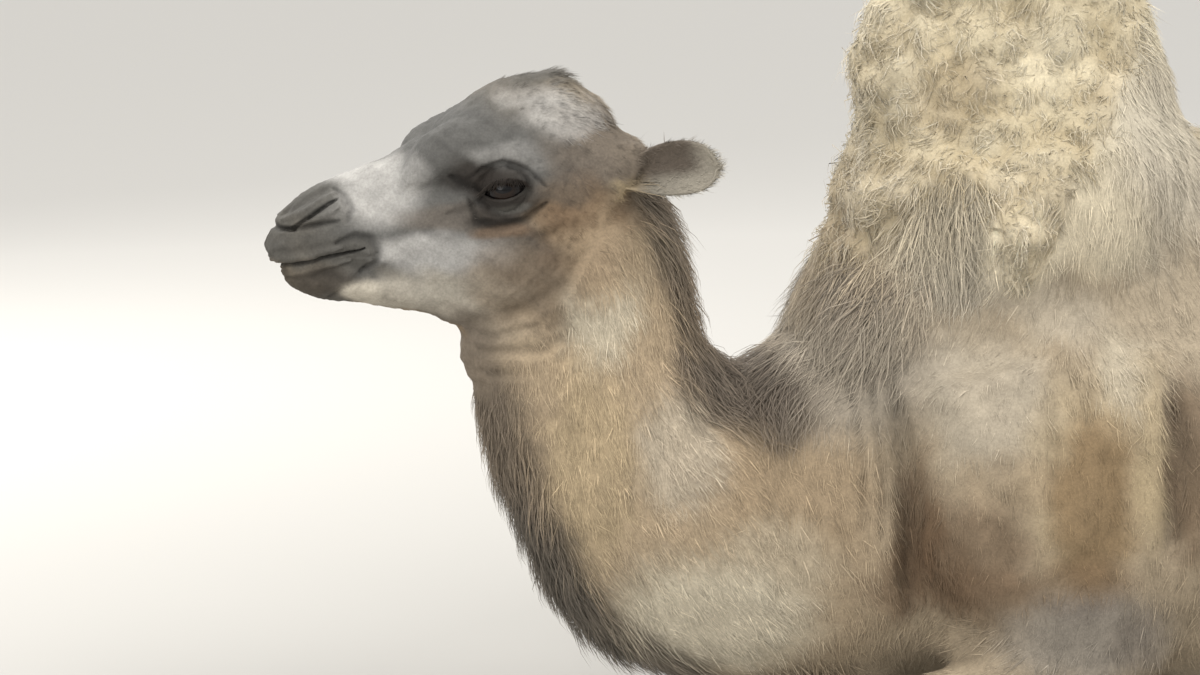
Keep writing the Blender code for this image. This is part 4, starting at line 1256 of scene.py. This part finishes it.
def hair_length(place):
    """Length of the short coat over the body."""
    sizes = bpy.context.scene.camel_sizes
    neck = fade((place[:, 0] - 0.50) / 0.10, 0.0, 1.0)
    length = mixed(sizes.body_hair, sizes.neck_hair, neck)
    patch = zone(place, (0.68, 0.20, 0.38), (0.10, 0.12, 0.12))
    arm = zone(place, (0.75, 0.21, 0.28), (0.12, 0.10, 0.14))
    length = length * (1 - 0.35 * np.maximum(patch, arm))
    saddle = np.maximum(zone(place, (0.900, 0.10, 0.62), (0.13, 0.20, 0.17)),
                        zone(place, (1.360, 0.10, 0.62), (0.12, 0.20, 0.17)))
    length = length * (1 + 0.25 * saddle)
    low = fade((place[:, 2] - 0.10) / 0.05, 0.0, 1.0) * fade((0.45 - place[:, 0]) / 0.05, 0.0, 1.0)
    length = mixed(length, sizes.limb_hair, low)
    face = sizes.face_hair * (1 + 0.9 * zone(place, (0.30, 0.0, 0.70), (0.09, 0.08, 0.07))
                              + 0.9 * fade((0.30 - place[:, 0]) / 0.08, 0.0, 1.0)
                              - 0.45 * zone(place, (0.03, 0.0, 0.55), (0.09, 0.1, 0.07)))
    face = face * (1 - 0.45 * near_eye(place, 0.034))
    return mixed(length, face, is_head(place))


def bare(points):
    """0 where no hair grows: between the lids, in nostrils and mouth, and on soles."""
    place = own_measure(points)
    grows = np.ones(len(points))
    for side in SIDES:
        out, back, up = eye_measure(points, side).T
        inside = (lid_gap(back, up) < 0.0018) & (np.hypot(back, up) < 0.03) & (out > -0.03)
        grows[inside] = 0.0
    for name, line, half, depth, shade, low, high in FOLDS:
        if name in OPENINGS:
            grows *= 1 - line_weight(place, line, half * 1.6, low, high)
    return grows * (place[:, 2] > 0.006)


# Bands where long hair grows over the short coat.
MANES = ("throat stripe", "nape stripe", "withers tuft")


def long_hair(place):
    """1 where long hair grows over the short coat: throat, nape, brisket and withers."""
    zones = [fade(near_band(place, line) / half, 0.5, 1.0)
             for name, line, half, *rest in BANDS if name in MANES]
    zones.append(zone(place, (0.545, 0.02, 0.100), (0.075, 0.07, 0.060)))
    under_jaw = fade((0.450 - place[:, 2]) / 0.03, 0.0, 1.0) * (place[:, 0] < 0.30)
    return np.max(zones, axis=0) * (1 - is_head(place)) * (1 - under_jaw)


def guard_zone(place):
    """1 where long guard hair grows over the withers, and its length falls to nothing at the rim."""
    rear = zone(place, (0.665, 0.15, 0.560), (0.085, 0.18, 0.075), 0.5, 1.05)
    front = zone(place, (0.560, 0.10, 0.490), (0.100, 0.18, 0.085), 0.5, 1.05)
    off_lobe = 1 - zone(place, (0.715, 0.17, 0.560), (0.046, 0.12, 0.075))
    return np.maximum(rear, front) * off_lobe * (1 - is_wool(place)) ** 4


def short_coat(points):
    """1 where the short coat grows, 0 in the wool and on the ears."""
    place = own_measure(points)
    return bare(points) * (1 - is_wool(place) ** 3) * ~on_ears(points)


def stretch_of(low, high):
    """Growth of the short coat between two distances back from the lips, off the head."""
    def growth(points):
        place = own_measure(points)
        within = (place[:, 0] >= low) & (place[:, 0] < high)
        return short_coat(points) * within * (is_head(place) < 0.5)
    return growth


def head_growth(points):
    """Growth of the short coat on the head."""
    return short_coat(points) * (is_head(own_measure(points)) >= 0.5)


def mane_growth(points):
    """Growth of the long hair of throat, nape and brisket."""
    return bare(points) * long_hair(own_measure(points)) * ~on_ears(points)


def guard_growth(points):
    """Growth of the guard hair over the withers."""
    return guard_zone(own_measure(points)) ** 0.5


def ear_growth(points):
    """Growth of the hair on the ears."""
    return on_ears(points).astype(float)


def tail_growth(points):
    """Growth of the tail's tuft."""
    return zone(own_measure(points), (1.59, 0.0, 0.12), (0.07, 0.07, 0.11))


def wool_growth(low, high, side):
    """Growth of wool between two distances back from the lips, on one side or both."""
    def growth(points):
        place = own_measure(points)
        within = (place[:, 0] >= low) & (place[:, 0] < high)
        if side:
            within &= points[:, 1] * SIDES[side] >= 0
        return is_wool(place) * within
    return growth


# ---------------------------------------------------------------- tufts

class Roots:
    """Where tufts stand on the skin: place, normal, lie and the skin's own UV."""

    def __init__(self, skin, count, growth, seed):
        self.rng = np.random.default_rng(seed)
        count = int(count * COUNT_SHARE)
        mesh = skin.data
        mesh.calc_loop_triangles()
        corners = np.empty(len(mesh.loop_triangles) * 3, int)
        mesh.loop_triangles.foreach_get("vertices", corners)
        loops = np.empty(len(mesh.loop_triangles) * 3, int)
        mesh.loop_triangles.foreach_get("loops", loops)
        areas = np.empty(len(mesh.loop_triangles))
        mesh.loop_triangles.foreach_get("area", areas)
        spots = np.empty(len(mesh.loops) * 2, np.float32)
        mesh.uv_layers["OFBake"].data.foreach_get("uv", spots)
        corners, loops = corners.reshape(-1, 3), loops.reshape(-1, 3)
        points, normals = points_of(mesh), normals_of(mesh)
        weight = np.cumsum(areas * growth(points[corners].mean(axis=1)))
        steps = (np.arange(count) + self.rng.random(count)) / count * weight[-1]
        chosen = np.minimum(np.searchsorted(weight, steps), len(areas) - 1)
        share = self.rng.random((count, 2))
        over = share.sum(axis=1) > 1
        share[over] = 1 - share[over]
        share = np.column_stack([share, 1 - share.sum(axis=1)])[:, :, None]
        self.points = (points[corners[chosen]] * share).sum(axis=1)
        self.normals = unit((normals[corners[chosen]] * share).sum(axis=1))
        self.spots = (spots.reshape(-1, 2)[loops[chosen]] * share).sum(axis=1)
        self.lie = lie_of_coat(self.points, self.normals)
        self.place = own_measure(self.points)
        self.count = count

    def spread(self, low, high):
        """Random numbers for each tuft."""
        return self.rng.uniform(low, high, self.count)


def turned(vectors, axes, angles):
    """Vectors turned about unit axes at right angles to them."""
    return vectors * np.cos(angles)[:, None] + np.cross(axes, vectors) * np.sin(angles)[:, None]


def hair_lines(roots, length, lift, steps, curl=0.0, turns=1.0, droop=0.0, stray=0.35, flatten=0.5):
    """Middle lines of the tufts, from just under the skin to the tip: tuft, step, xyz."""
    lie = turned(roots.lie, roots.normals, roots.rng.normal(0.0, stray, roots.count))
    side = np.cross(roots.normals, lie)
    s = np.linspace(0.0, 1.0, steps + 1)[None, :, None]
    lift = lift[:, None, None]
    bend = lift * flatten
    slope = lift - bend * s
    length = length[:, None, None]
    along = length * s
    line = (roots.points[:, None] - roots.normals[:, None] * 0.0012
            + lie[:, None] * along * np.cos(slope) + roots.normals[:, None] * along * np.sin(slope))
    if curl > 0:
        start = roots.spread(0, 2 * math.pi)[:, None, None]
        hand = roots.rng.choice([-1.0, 1.0], roots.count)[:, None, None]
        rate = turns * roots.spread(0.7, 1.3)[:, None, None]
        phase = start + hand * 2 * math.pi * rate * s
        size = curl * length * np.minimum(s * 2.5, 1.0)
        line = line + side[:, None] * size * (np.cos(phase) - np.cos(start))
        line = line + roots.normals[:, None] * size * 0.8 * (np.sin(phase) - np.sin(start))
    if droop > 0:
        line[:, :, 2] -= (droop * length * s * s)[:, :, 0]
    return line


def leaders_of(roots, each):
    """For each tuft, the nearest of the tufts that lead the others."""
    chosen = roots.rng.permutation(roots.count)[::each]
    tree = KDTree(len(chosen))
    for number, index in enumerate(chosen):
        tree.insert(roots.points[index], number)
    tree.balance()
    return chosen[[tree.find(point)[1] for point in roots.points]]


def clumped(roots, lines, spacing, each, share):
    """Draws each tuft's tip towards the tip of the nearest tuft that leads a clump."""
    leader = leaders_of(roots, each)
    s = np.linspace(0.0, 1.0, lines.shape[1])[None, :, None]
    apart = np.linalg.norm(roots.points - roots.points[leader], axis=1)
    pull = share * fade(apart / spacing, 0.6, 1.6)[:, None, None]
    return lines + (lines[leader] - lines) * pull * s ** 1.5


# Size of one tuft's own patch in the UV map.
UV_PATCH = 0.003


def tuft_faces(steps):
    """Faces of one three-sided tuft, and their corners (along, round) in its UV patch."""
    s = np.arange(steps) / steps
    faces, patches = [], []
    for step in range(steps - 1):
        for corner in range(3):
            a, b = step * 3 + corner, step * 3 + (corner + 1) % 3
            low, high = s[step], s[step + 1]
            faces += [(a, a + 3, b), (b, a + 3, b + 3)]
            patches += [((low, corner), (high, corner), (low, corner + 1)),
                        ((low, corner + 1), (high, corner), (high, corner + 1))]
    last = (steps - 1) * 3
    for corner in range(3):
        faces.append((last + corner, steps * 3, last + (corner + 1) % 3))
        patches.append(((s[-1], corner), (1.0, corner + 0.5), (s[-1], corner + 1)))
    faces.append((0, 1, 2))
    patches.append(((-0.14, 0.0), (-0.14, 1.0), (-0.02, 0.5)))
    return np.array(faces), np.array(patches) * [1.0, 1 / 3] - [0.43, 0.5]


def tuft_mesh(name, lines, normals, width, colours, spots, softness, flatness=0.55):
    """Closed three-sided tufts along the lines, coloured, with one small UV patch each at its root."""
    count, steps = len(lines), lines.shape[1] - 1
    run = np.empty_like(lines)
    run[:, 1:-1] = lines[:, 2:] - lines[:, :-2]
    run[:, 0] = lines[:, 1] - lines[:, 0]
    run = unit(run[:, :-1])
    side = unit(np.cross(run, np.broadcast_to(normals[:, None], run.shape)))
    top = np.cross(side, run)
    s = np.arange(steps) / steps
    girth = (width[:, None] * (1 - s[None] ** 1.6) * 0.5)[:, :, None]
    points = np.empty((count, steps * 3 + 1, 3))
    for corner in range(3):
        turn = math.pi / 2 + corner * 2 * math.pi / 3
        points[:, corner:steps * 3:3] = (lines[:, :-1] + side * girth * math.cos(turn)
                                         + top * girth * flatness * math.sin(turn))
    points[:, -1] = lines[:, -1]
    above_floor(points)
    faces, patches = tuft_faces(steps)
    mesh = bpy.data.meshes.new(name)
    mesh.vertices.add(points.shape[1] * count)
    mesh.vertices.foreach_set("co", points.astype(np.float32).ravel())
    corners = (faces[None] + (np.arange(count) * points.shape[1])[:, None, None]).ravel()
    mesh.loops.add(len(corners))
    mesh.loops.foreach_set("vertex_index", corners.astype(np.int32))
    mesh.polygons.add(len(corners) // 3)
    mesh.polygons.foreach_set("loop_start", np.arange(0, len(corners), 3, dtype=np.int32))
    mesh.update(calc_edges=True)
    layer = mesh.uv_layers.new(name="OFBake")
    low, high = spots.min(axis=0), spots.max(axis=0)
    spots = UV_PATCH + (spots - low) / np.maximum(high - low, 1e-6) * (1 - 2 * UV_PATCH)
    values = spots[:, None, None] + patches[None] * UV_PATCH
    layer.data.foreach_set("uv", values.astype(np.float32).ravel())
    outward = unit(np.concatenate([points[:, :-1] - np.repeat(lines[:, :-1], 3, axis=1),
                                   top[:, -1:]], axis=1))
    soft = mixed(outward, normals[:, None], np.reshape(softness, (-1, 1, 1)))
    mesh.shade_smooth()
    mesh.normals_split_custom_set_from_vertices(unit(soft.reshape(-1, 3)))
    # Painted shade along each tuft, darker at the root.
    tone = painted_root_shade(np.concatenate([np.repeat(s, 3), [1.0]]))
    paint(mesh, (colours[:, None] * tone[None, :, None]).reshape(-1, 3))
    return mesh


def painted_root_shade(along):
    """Painted shade along a tuft: darker at its root, deep in the coat, and lighter to its tip."""
    return 0.84 + 0.26 * np.minimum(along * 1.6, 1.0)


def tuft_colours(roots, spread=0.13):
    # Coat colours with the folds' painted shade, and a random tone for each tuft.
    colours = coat_colours(roots.points) * skin_shade(roots.place)[:, None]
    return colours * (1 + spread * roots.rng.normal(size=roots.count)).clip(0.6, 1.5)[:, None]


# ---------------------------------------------------------------- skin, eyes and nails

class CAMEL_OT_skin(bpy.types.Operator):
    """Make the one skin that stands for all the flesh"""
    bl_idname = "camel.skin"
    bl_label = "Skin"

    def execute(self, context):
        mesh = build_skin()
        mesh.shade_smooth()
        mesh.name = "skin"
        hide = coat_material("hide", roughness=0.85, sheen=0.0, grain=420.0, bump=0.6,
                             low=0.86, high=1.12)
        piece = new_piece("skin", mesh, hide, "coat_fawn", *FLESH)
        points = points_of(mesh)
        place = own_measure(points)
        # Painted shade on the skin: the folds' darkening, and the skin off the head 18 percent darker,
        # as shade deep under the coat.
        shade = skin_shade(place) * (1 - 0.18 * (1 - is_head(place)))
        paint(mesh, skin_colours(points, normals_of(mesh)) * shade[:, None])
        context.view_layer.objects.active = piece
        piece.select_set(True)
        bpy.ops.object.mode_set(mode="EDIT")
        bpy.ops.mesh.select_all(action="SELECT")
        bpy.ops.uv.smart_project(angle_limit=math.radians(66.0), island_margin=0.001)
        bpy.ops.object.mode_set(mode="OBJECT")
        piece.select_set(False)
        mesh.uv_layers[0].name = "OFBake"
        return {"FINISHED"}


class CAMEL_OT_eyes(bpy.types.Operator):
    """Make both wet eyeballs with a bulging front"""
    bl_idname = "camel.eyes"
    bl_label = "Eyes"

    def execute(self, context):
        radius = context.scene.camel_sizes.eye_radius
        for side in SIDES:
            ball = bmesh.new()
            bmesh.ops.create_uvsphere(ball, u_segments=48, v_segments=32, radius=radius)
            out = Vector(eye_axes(side)[0])
            for vert in ball.verts:
                toward = vert.co.normalized().dot(out)
                bulge = max(0.0, (toward - 0.80) / 0.20)
                vert.co += vert.co.normalized() * 0.0007 * bulge * bulge * (3 - 2 * bulge)
                vert.co += EYE_MIDDLE[side]
            mesh = mesh_from(ball, f"eyeball_{side}")
            mesh.shade_smooth()
            new_piece(f"eyeball_{side}", mesh, eye_material(side), "eye_dark", f"eye_{side}")
        return {"FINISHED"}


class CAMEL_OT_nails(bpy.types.Operator):
    """Make the eight toe nails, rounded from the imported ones"""
    bl_idname = "camel.nails"
    bl_label = "Nails"

    def execute(self, context):
        mesh = merged_copy(NAILS, swell=0.0)
        mesh = modified(mesh, "REMESH", mode="VOXEL", voxel_size=NAIL_VOXEL)
        mesh.shade_smooth()
        set_points(mesh, above_floor(relaxed(mesh, points_of(mesh), 4)))
        new_piece("nails", mesh, horn_material(), "nail_horn", *NAILS)
        return {"FINISHED"}


# ---------------------------------------------------------------- coat

# Tufts, where they grow and seed of each piece of the short coat.
SHORT_COATS = {
    "coat_head": (28000, head_growth, 31),
    "coat_neck": (45000, stretch_of(0.0, 0.50), 32),
    "coat_chest": (47000, stretch_of(0.50, 0.97), 33),
    "coat_rear": (34000, stretch_of(0.97, 2.00), 34),
}
# Long hair: the setting of its length, its lift in degrees, how it droops and strays, and the
# width of its finest hair.
LONG_COATS = {
    "mane": {"count": 9800, "growth": mane_growth, "length": "mane_hair", "lift": 30.0,
             "droop": 0.05, "stray": 0.32, "fine": 0.0006, "seed": 41},
    "guard_hair": {"count": 9800, "growth": guard_growth, "length": "guard_hair", "lift": 16.0,
                   "droop": 0.10, "stray": 0.42, "fine": 0.0004, "seed": 42},
    "tail_hair": {"count": 1600, "growth": tail_growth, "length": "mane_hair", "lift": 18.0,
                  "droop": 0.10, "stray": 0.32, "fine": 0.0010, "seed": 43},
}
# The fleece is a close layer of short locks, and curls stand over it. Each has its steps, tufts
# to a curl, swirl, share of a lock's length, extra length on the front, lift in degrees, curl
# and pull towards the curl's middle.
FLEECE = {"steps": 1, "each": 110, "swirl": 0.75, "length": 0.62, "haze": 0.15, "lift": 32.0,
          "curl": 0.0, "pull": 0.15}
CURLS = {"steps": 2, "each": 28, "swirl": 0.35, "length": 1.0, "haze": 0.45, "lift": 18.0,
         "curl": 0.16, "pull": 0.45}
# The humps are parted at this distance back.
BETWEEN_HUMPS = 0.93
WOOL_COATS = {
    "fleece_front_left": (30000, FLEECE, wool_growth(0.0, BETWEEN_HUMPS, "left"), 54),
    "fleece_front_right": (20000, FLEECE, wool_growth(0.0, BETWEEN_HUMPS, "right"), 55),
    "fleece_rear": (24000, FLEECE, wool_growth(BETWEEN_HUMPS, 2.0, None), 56),
    "wool_front_left": (7800, CURLS, wool_growth(0.0, BETWEEN_HUMPS, "left"), 51),
    "wool_front_right": (5200, CURLS, wool_growth(0.0, BETWEEN_HUMPS, "right"), 52),
    "wool_rear": (7000, CURLS, wool_growth(BETWEEN_HUMPS, 2.0, None), 53),
}
CURL_RADIUS = 0.0120
EAR_HAIRS = 4600
# Lashes of each eye.
LASHES = 190


class CAMEL_OT_short_coat(bpy.types.Operator):
    """Make the short lying hair of head, neck, trunk and legs"""
    bl_idname = "camel.short_coat"
    bl_label = "Short coat"

    def execute(self, context):
        material = coat_material("short hair", roughness=0.72, sheen=0.08, grain=260.0,
                                 bump=0.25, low=0.85, high=1.15)
        skin = bpy.data.objects["skin"]
        for name, (count, growth, seed) in SHORT_COATS.items():
            roots = Roots(skin, count, growth, seed)
            head = is_head(roots.place)
            soft = np.maximum(head, zone(roots.place, (0.90, 0.15, 0.60), (0.17, 0.20, 0.20)))
            coarse = (roots.rng.random(roots.count) < 0.14) * (1 - soft)
            length = hair_length(roots.place) * roots.spread(0.7, 1.3) * (1 + 0.35 * coarse)
            lift = np.radians(15.0 + 9.0 * (1 - head)) * roots.spread(0.4, 1.6)
            lines = hair_lines(roots, length, lift, steps=1, stray=0.38)
            lines = clumped(roots, lines, spacing=0.014, each=14, share=0.45)
            width = (0.0005 + 0.034 * length) * roots.spread(0.7, 1.3) * (1 + 0.25 * coarse)
            saddle = zone(roots.place, (0.87, 0.15, 0.58), (0.12, 0.20, 0.15))
            mesh = tuft_mesh(name, lines, roots.normals, width,
                             tuft_colours(roots, 0.10 + 0.10 * coarse), roots.spots,
                             softness=0.60 + 0.16 * saddle)
            new_piece(name, mesh, material, "coat_grey" if name == "coat_head" else "coat_fawn")
        return {"FINISHED"}


class CAMEL_OT_long_hair(bpy.types.Operator):
    """Make throat and nape manes, guard hair over the withers and the tail's tuft"""
    bl_idname = "camel.long_hair"
    bl_label = "Long hair"

    def execute(self, context):
        material = coat_material("long hair", roughness=0.66, sheen=0.08, grain=200.0,
                                 bump=0.2, low=0.85, high=1.15)
        skin = bpy.data.objects["skin"]
        for name, kind in LONG_COATS.items():
            roots = Roots(skin, kind["count"], kind["growth"], kind["seed"])
            length = getattr(context.scene.camel_sizes, kind["length"]) * roots.spread(0.55, 1.25)
            lift = np.radians(kind["lift"]) * roots.spread(0.5, 1.5)
            if name == "guard_hair":
                length *= 0.30 + 0.70 * guard_zone(roots.place)
            if name == "mane":
                upper = fade((0.44 - roots.place[:, 2]) / 0.12, 0.0, 1.0)
                upper *= roots.place[:, 0] < 0.30
                length *= 1 - 0.65 * upper
                lift *= 1 - 0.40 * upper
            lines = hair_lines(roots, length, lift, steps=3, curl=0.035, turns=0.7,
                               droop=kind["droop"], stray=kind["stray"])
            lines = clumped(roots, lines, spacing=0.018, each=14, share=0.50)
            width = (kind["fine"] + 0.011 * length) * roots.spread(0.7, 1.3)
            mesh = tuft_mesh(name, lines, roots.normals, width,
                             tuft_colours(roots, 0.5 * kind["stray"]), roots.spots,
                             softness=0.55)
            new_piece(name, mesh, material, "coat_grey")
        return {"FINISHED"}


class CAMEL_OT_wool(bpy.types.Operator):
    """Make the curly wool of both humps"""
    bl_idname = "camel.wool"
    bl_label = "Wool"

    def execute(self, context):
        sizes = context.scene.camel_sizes
        material = wool_material()
        skin = bpy.data.objects["skin"]
        for name, (count, kind, growth, seed) in WOOL_COATS.items():
            roots = Roots(skin, count, growth, seed)
            leader = leaders_of(roots, kind["each"])
            offset = flattened(roots.points - roots.points[leader], roots.normals)
            away = np.linalg.norm(offset, axis=1) / CURL_RADIUS
            round_it = np.cross(roots.normals, unit(offset))
            hand = np.where(leader % 2 == 0, 1.0, -1.0)[:, None]
            swirl = roots.rng.normal(0.0, kind["swirl"], (roots.count, 3))
            low = fade((roots.place[:, 2] - wool_edge(roots.place[:, 0])) / 0.045, 0.0, 1.0)
            lie = roots.lie * (0.55 + low[:, None]) + round_it * hand * 0.9 + swirl
            roots.lie = unit(flattened(lie, roots.normals))
            length = sizes.wool_lock * roots.spread(0.6, 1.25) * kind["length"]
            length *= 1 + 0.5 * low
            loose = roots.rng.random(roots.count) < 0.07
            haze = np.clip(-1.4 * roots.normals[:, 0], 0.0, 1.0)
            length = length * np.where(loose, 1.6, 1.0) * (1 + kind["haze"] * haze)
            lift = np.radians(kind["lift"]) * roots.spread(0.3, 1.6) * (1 + 0.5 * haze)
            lines = hair_lines(roots, length, lift, kind["steps"], curl=kind["curl"], turns=0.5,
                               droop=0.05, stray=0.40, flatten=1.0)
            s = np.linspace(0.0, 1.0, lines.shape[1])[None, :, None]
            pull = kind["pull"] * np.where(loose, 0.3, 1.0)[:, None, None]
            lines = lines + (lines[leader] - lines) * pull * s ** 1.4
            width = 0.0007 + 0.040 * np.minimum(length, 0.018)
            width *= roots.spread(0.7, 1.3) * np.where(loose, 0.5, 1.0)
            colours = woolly_colours(roots.points, coat_colours(roots.points))
            # Painted shade: each lock darker and warmer towards the rim of its curl, with a random tone
            # on top.
            tone = 1.03 - 0.12 * np.minimum(away, 1.3) ** 2
            tone = tone * roots.rng.normal(1, 0.05, roots.count)
            painted_warm_shade = np.array([1.0, 0.965, 0.90]) ** np.minimum(away, 1.3)[:, None]
            bulge = unit(roots.normals + 0.45 * offset / CURL_RADIUS)
            mesh = tuft_mesh(name, lines, bulge, width, colours * tone[:, None] * painted_warm_shade, roots.spots,
                             softness=np.where(loose, 0.50, 0.76), flatness=0.45)
            new_piece(name, mesh, material, "wool_cream")
        return {"FINISHED"}


class CAMEL_OT_ear_hair(bpy.types.Operator):
    """Make the fringe and the inner hair of the ears"""
    bl_idname = "camel.ear_hair"
    bl_label = "Ear hair"

    def execute(self, context):
        material = coat_material("ear hair", roughness=0.72, sheen=0.08, grain=260.0,
                                 bump=0.2, low=0.85, high=1.15)
        roots = Roots(bpy.data.objects["skin"], EAR_HAIRS, ear_growth, seed=61)
        toward = np.zeros_like(roots.points)
        for side in SIDES:
            near = ear_part(roots.points, side)[0]
            start, end = ear_line(side)
            toward[near] = (end - start) / np.linalg.norm(end - start)
        roots.lie = unit(flattened(toward, roots.normals))
        length = 0.011 * roots.spread(0.6, 1.4)
        lift = np.radians(17.0) * roots.spread(0.3, 1.7)
        lines = hair_lines(roots, length, lift, steps=2, stray=0.40)
        width = 0.0008 * roots.spread(0.7, 1.3)
        colours = skin_colours(roots.points, roots.normals)
        colours *= roots.rng.normal(1.0, 0.15, roots.count).clip(0.6, 1.5)[:, None]
        mesh = tuft_mesh("ear_hair", lines, roots.normals, width, colours, roots.spots,
                         softness=0.35)
        new_piece("ear_hair", mesh, material, "ear_brown")
        return {"FINISHED"}


class CAMEL_OT_lashes(bpy.types.Operator):
    """Make the long dark lashes of both eyes"""
    bl_idname = "camel.lashes"
    bl_label = "Lashes"

    def execute(self, context):
        sizes = context.scene.camel_sizes
        rng = np.random.default_rng(71)
        starts, ways, tops = [], [], []
        front_x, rear_x = LID_CORNERS[0][0], LID_CORNERS[1][0]
        for side in SIDES:
            axes = eye_axes(side)
            for t in rng.uniform(0.04, 0.99, LASHES):
                back = front_x + (rear_x - front_x) * t
                up = lid_edges(t)[1] + rng.uniform(0.0002, 0.0022)
                out = math.sqrt(max((sizes.eye_radius + 0.0016) ** 2 - back ** 2 - up ** 2, 1e-6))
                starts.append(EYE_MIDDLE[side] + Vector(np.array([out, back, up]) @ axes))
                way = np.array([0.80, (t - 0.55) * 0.9 + rng.normal(0, 0.10),
                                rng.normal(-0.62, 0.14)])
                ways.append(way @ axes)
                tops.append(axes[2])
        starts, ways, tops = np.array(starts), unit(np.array(ways)), np.array(tops)
        length = sizes.lash * rng.uniform(0.6, 1.15, len(starts))[:, None, None]
        s = np.linspace(0.0, 1.0, 5)[None, :, None]
        lines = (starts[:, None] + ways[:, None] * length * s
                 + tops[:, None] * length * 0.16 * s ** 2.2)
        width = rng.uniform(0.0006, 0.0009, len(starts))
        colours = np.full((len(starts), 3), 0.02)
        spots = rng.random((len(starts), 2))
        mesh = tuft_mesh("lashes", lines, tops, width, colours, spots, softness=0.0,
                         flatness=1.0)
        new_piece("lashes", mesh, lash_material(), "eye_dark")
        return {"FINISHED"}


# ---------------------------------------------------------------- stage

# Place, size, power and tint of each lamp. All of them look at one spot.
LAMPS = {
    "key": ((0.6, -1.5, 3.2), 2.0, 80.0, (1.0, 0.97, 0.92)),
    "front": ((-2.2, -2.4, 1.6), 2.6, 50.0, (1.0, 0.99, 0.97)),
    "back": ((-1.7, 2.3, 2.6), 2.0, 95.0, (1.0, 0.98, 0.94)),
}
LAMP_TARGET = Vector((-0.35, 0.0, 0.45))
VIEW_TARGET = to_frame(0.333, 0.0, 0.443)


def add_floor(size):
    """The floor, round the camel."""
    grid = bmesh.new()
    bmesh.ops.create_grid(grid, x_segments=2, y_segments=2, size=size / 2)
    floor = in_scene("floor", mesh_from(grid, "floor"))
    floor.data.materials.append(floor_material())


def add_world():
    """Even light from all round."""
    world = bpy.data.worlds.new("studio")
    world.use_nodes = True
    set_sockets(world.node_tree.nodes["Background"],
                {"Color": (1.0, 0.985, 0.955, 1), "Strength": 0.84})
    bpy.context.scene.world = world


def add_lamp(name, place, size, power, tint):
    """One soft round lamp."""
    light = bpy.data.lights.new(name, "AREA")
    light.shape = "DISK"
    light.size = size
    light.energy = power
    light.color = tint
    lamp = in_scene(name, light)
    lamp.location = place
    lamp.rotation_euler = (LAMP_TARGET - lamp.location).to_track_quat("-Z", "Y").to_euler()


def add_camera(stage):
    """The camera, at its distance from the middle of the picture."""
    away = Vector((math.sin(stage.azimuth) * math.cos(stage.elevation),
                   -math.cos(stage.azimuth) * math.cos(stage.elevation),
                   math.sin(stage.elevation)))
    view = bpy.data.cameras.new("camera")
    view.lens = stage.lens
    view.sensor_width = 36.0
    camera = in_scene("camera", view)
    camera.location = VIEW_TARGET + away * stage.distance
    camera.rotation_euler = (-away).to_track_quat("-Z", "Y").to_euler()
    bpy.context.scene.camera = camera


class CAMEL_OT_stage(bpy.types.Operator):
    """Make the floor, the lights and the camera"""
    bl_idname = "camel.stage"
    bl_label = "Stage"

    def execute(self, context):
        stage = context.scene.camel_stage
        add_floor(stage.floor_size)
        add_world()
        for name, settings in LAMPS.items():
            add_lamp(name, *settings)
        add_camera(stage)
        context.scene.view_settings.view_transform = "Standard"
        return {"FINISHED"}


# ---------------------------------------------------------------- panel and run

class CAMEL_PT_panel(bpy.types.Panel):
    """Lists the camel's pieces, sizes and colours"""
    bl_label = "Lying Young Camel"
    bl_idname = "CAMEL_PT_panel"
    bl_space_type = "VIEW_3D"
    bl_region_type = "UI"
    bl_category = "Camel"

    def draw(self, context):
        for kind in OPERATORS:
            self.layout.operator(kind.bl_idname)
        for group in ("camel_sizes", "camel_colours", "camel_stage"):
            settings = getattr(context.scene, group)
            for name in settings.__annotations__:
                self.layout.prop(settings, name)


OPERATORS = (CAMEL_OT_skin, CAMEL_OT_eyes, CAMEL_OT_nails, CAMEL_OT_short_coat,
             CAMEL_OT_long_hair, CAMEL_OT_wool, CAMEL_OT_ear_hair, CAMEL_OT_lashes, CAMEL_OT_stage)
GROUPS = {"camel_sizes": CamelSizes, "camel_colours": CamelColours, "camel_stage": CamelStage}


def register():
    for kind in (*GROUPS.values(), *OPERATORS, CAMEL_PT_panel):
        bpy.utils.register_class(kind)
    for name, kind in GROUPS.items():
        setattr(bpy.types.Scene, name, PointerProperty(type=kind))


def unregister():
    for name in GROUPS:
        delattr(bpy.types.Scene, name)
    for kind in reversed((*GROUPS.values(), *OPERATORS, CAMEL_PT_panel)):
        bpy.utils.unregister_class(kind)


def main():
    register()
    for kind in OPERATORS:
        group, name = kind.bl_idname.split(".")
        getattr(getattr(bpy.ops, group), name)()


if __name__ == "__main__":
    main()
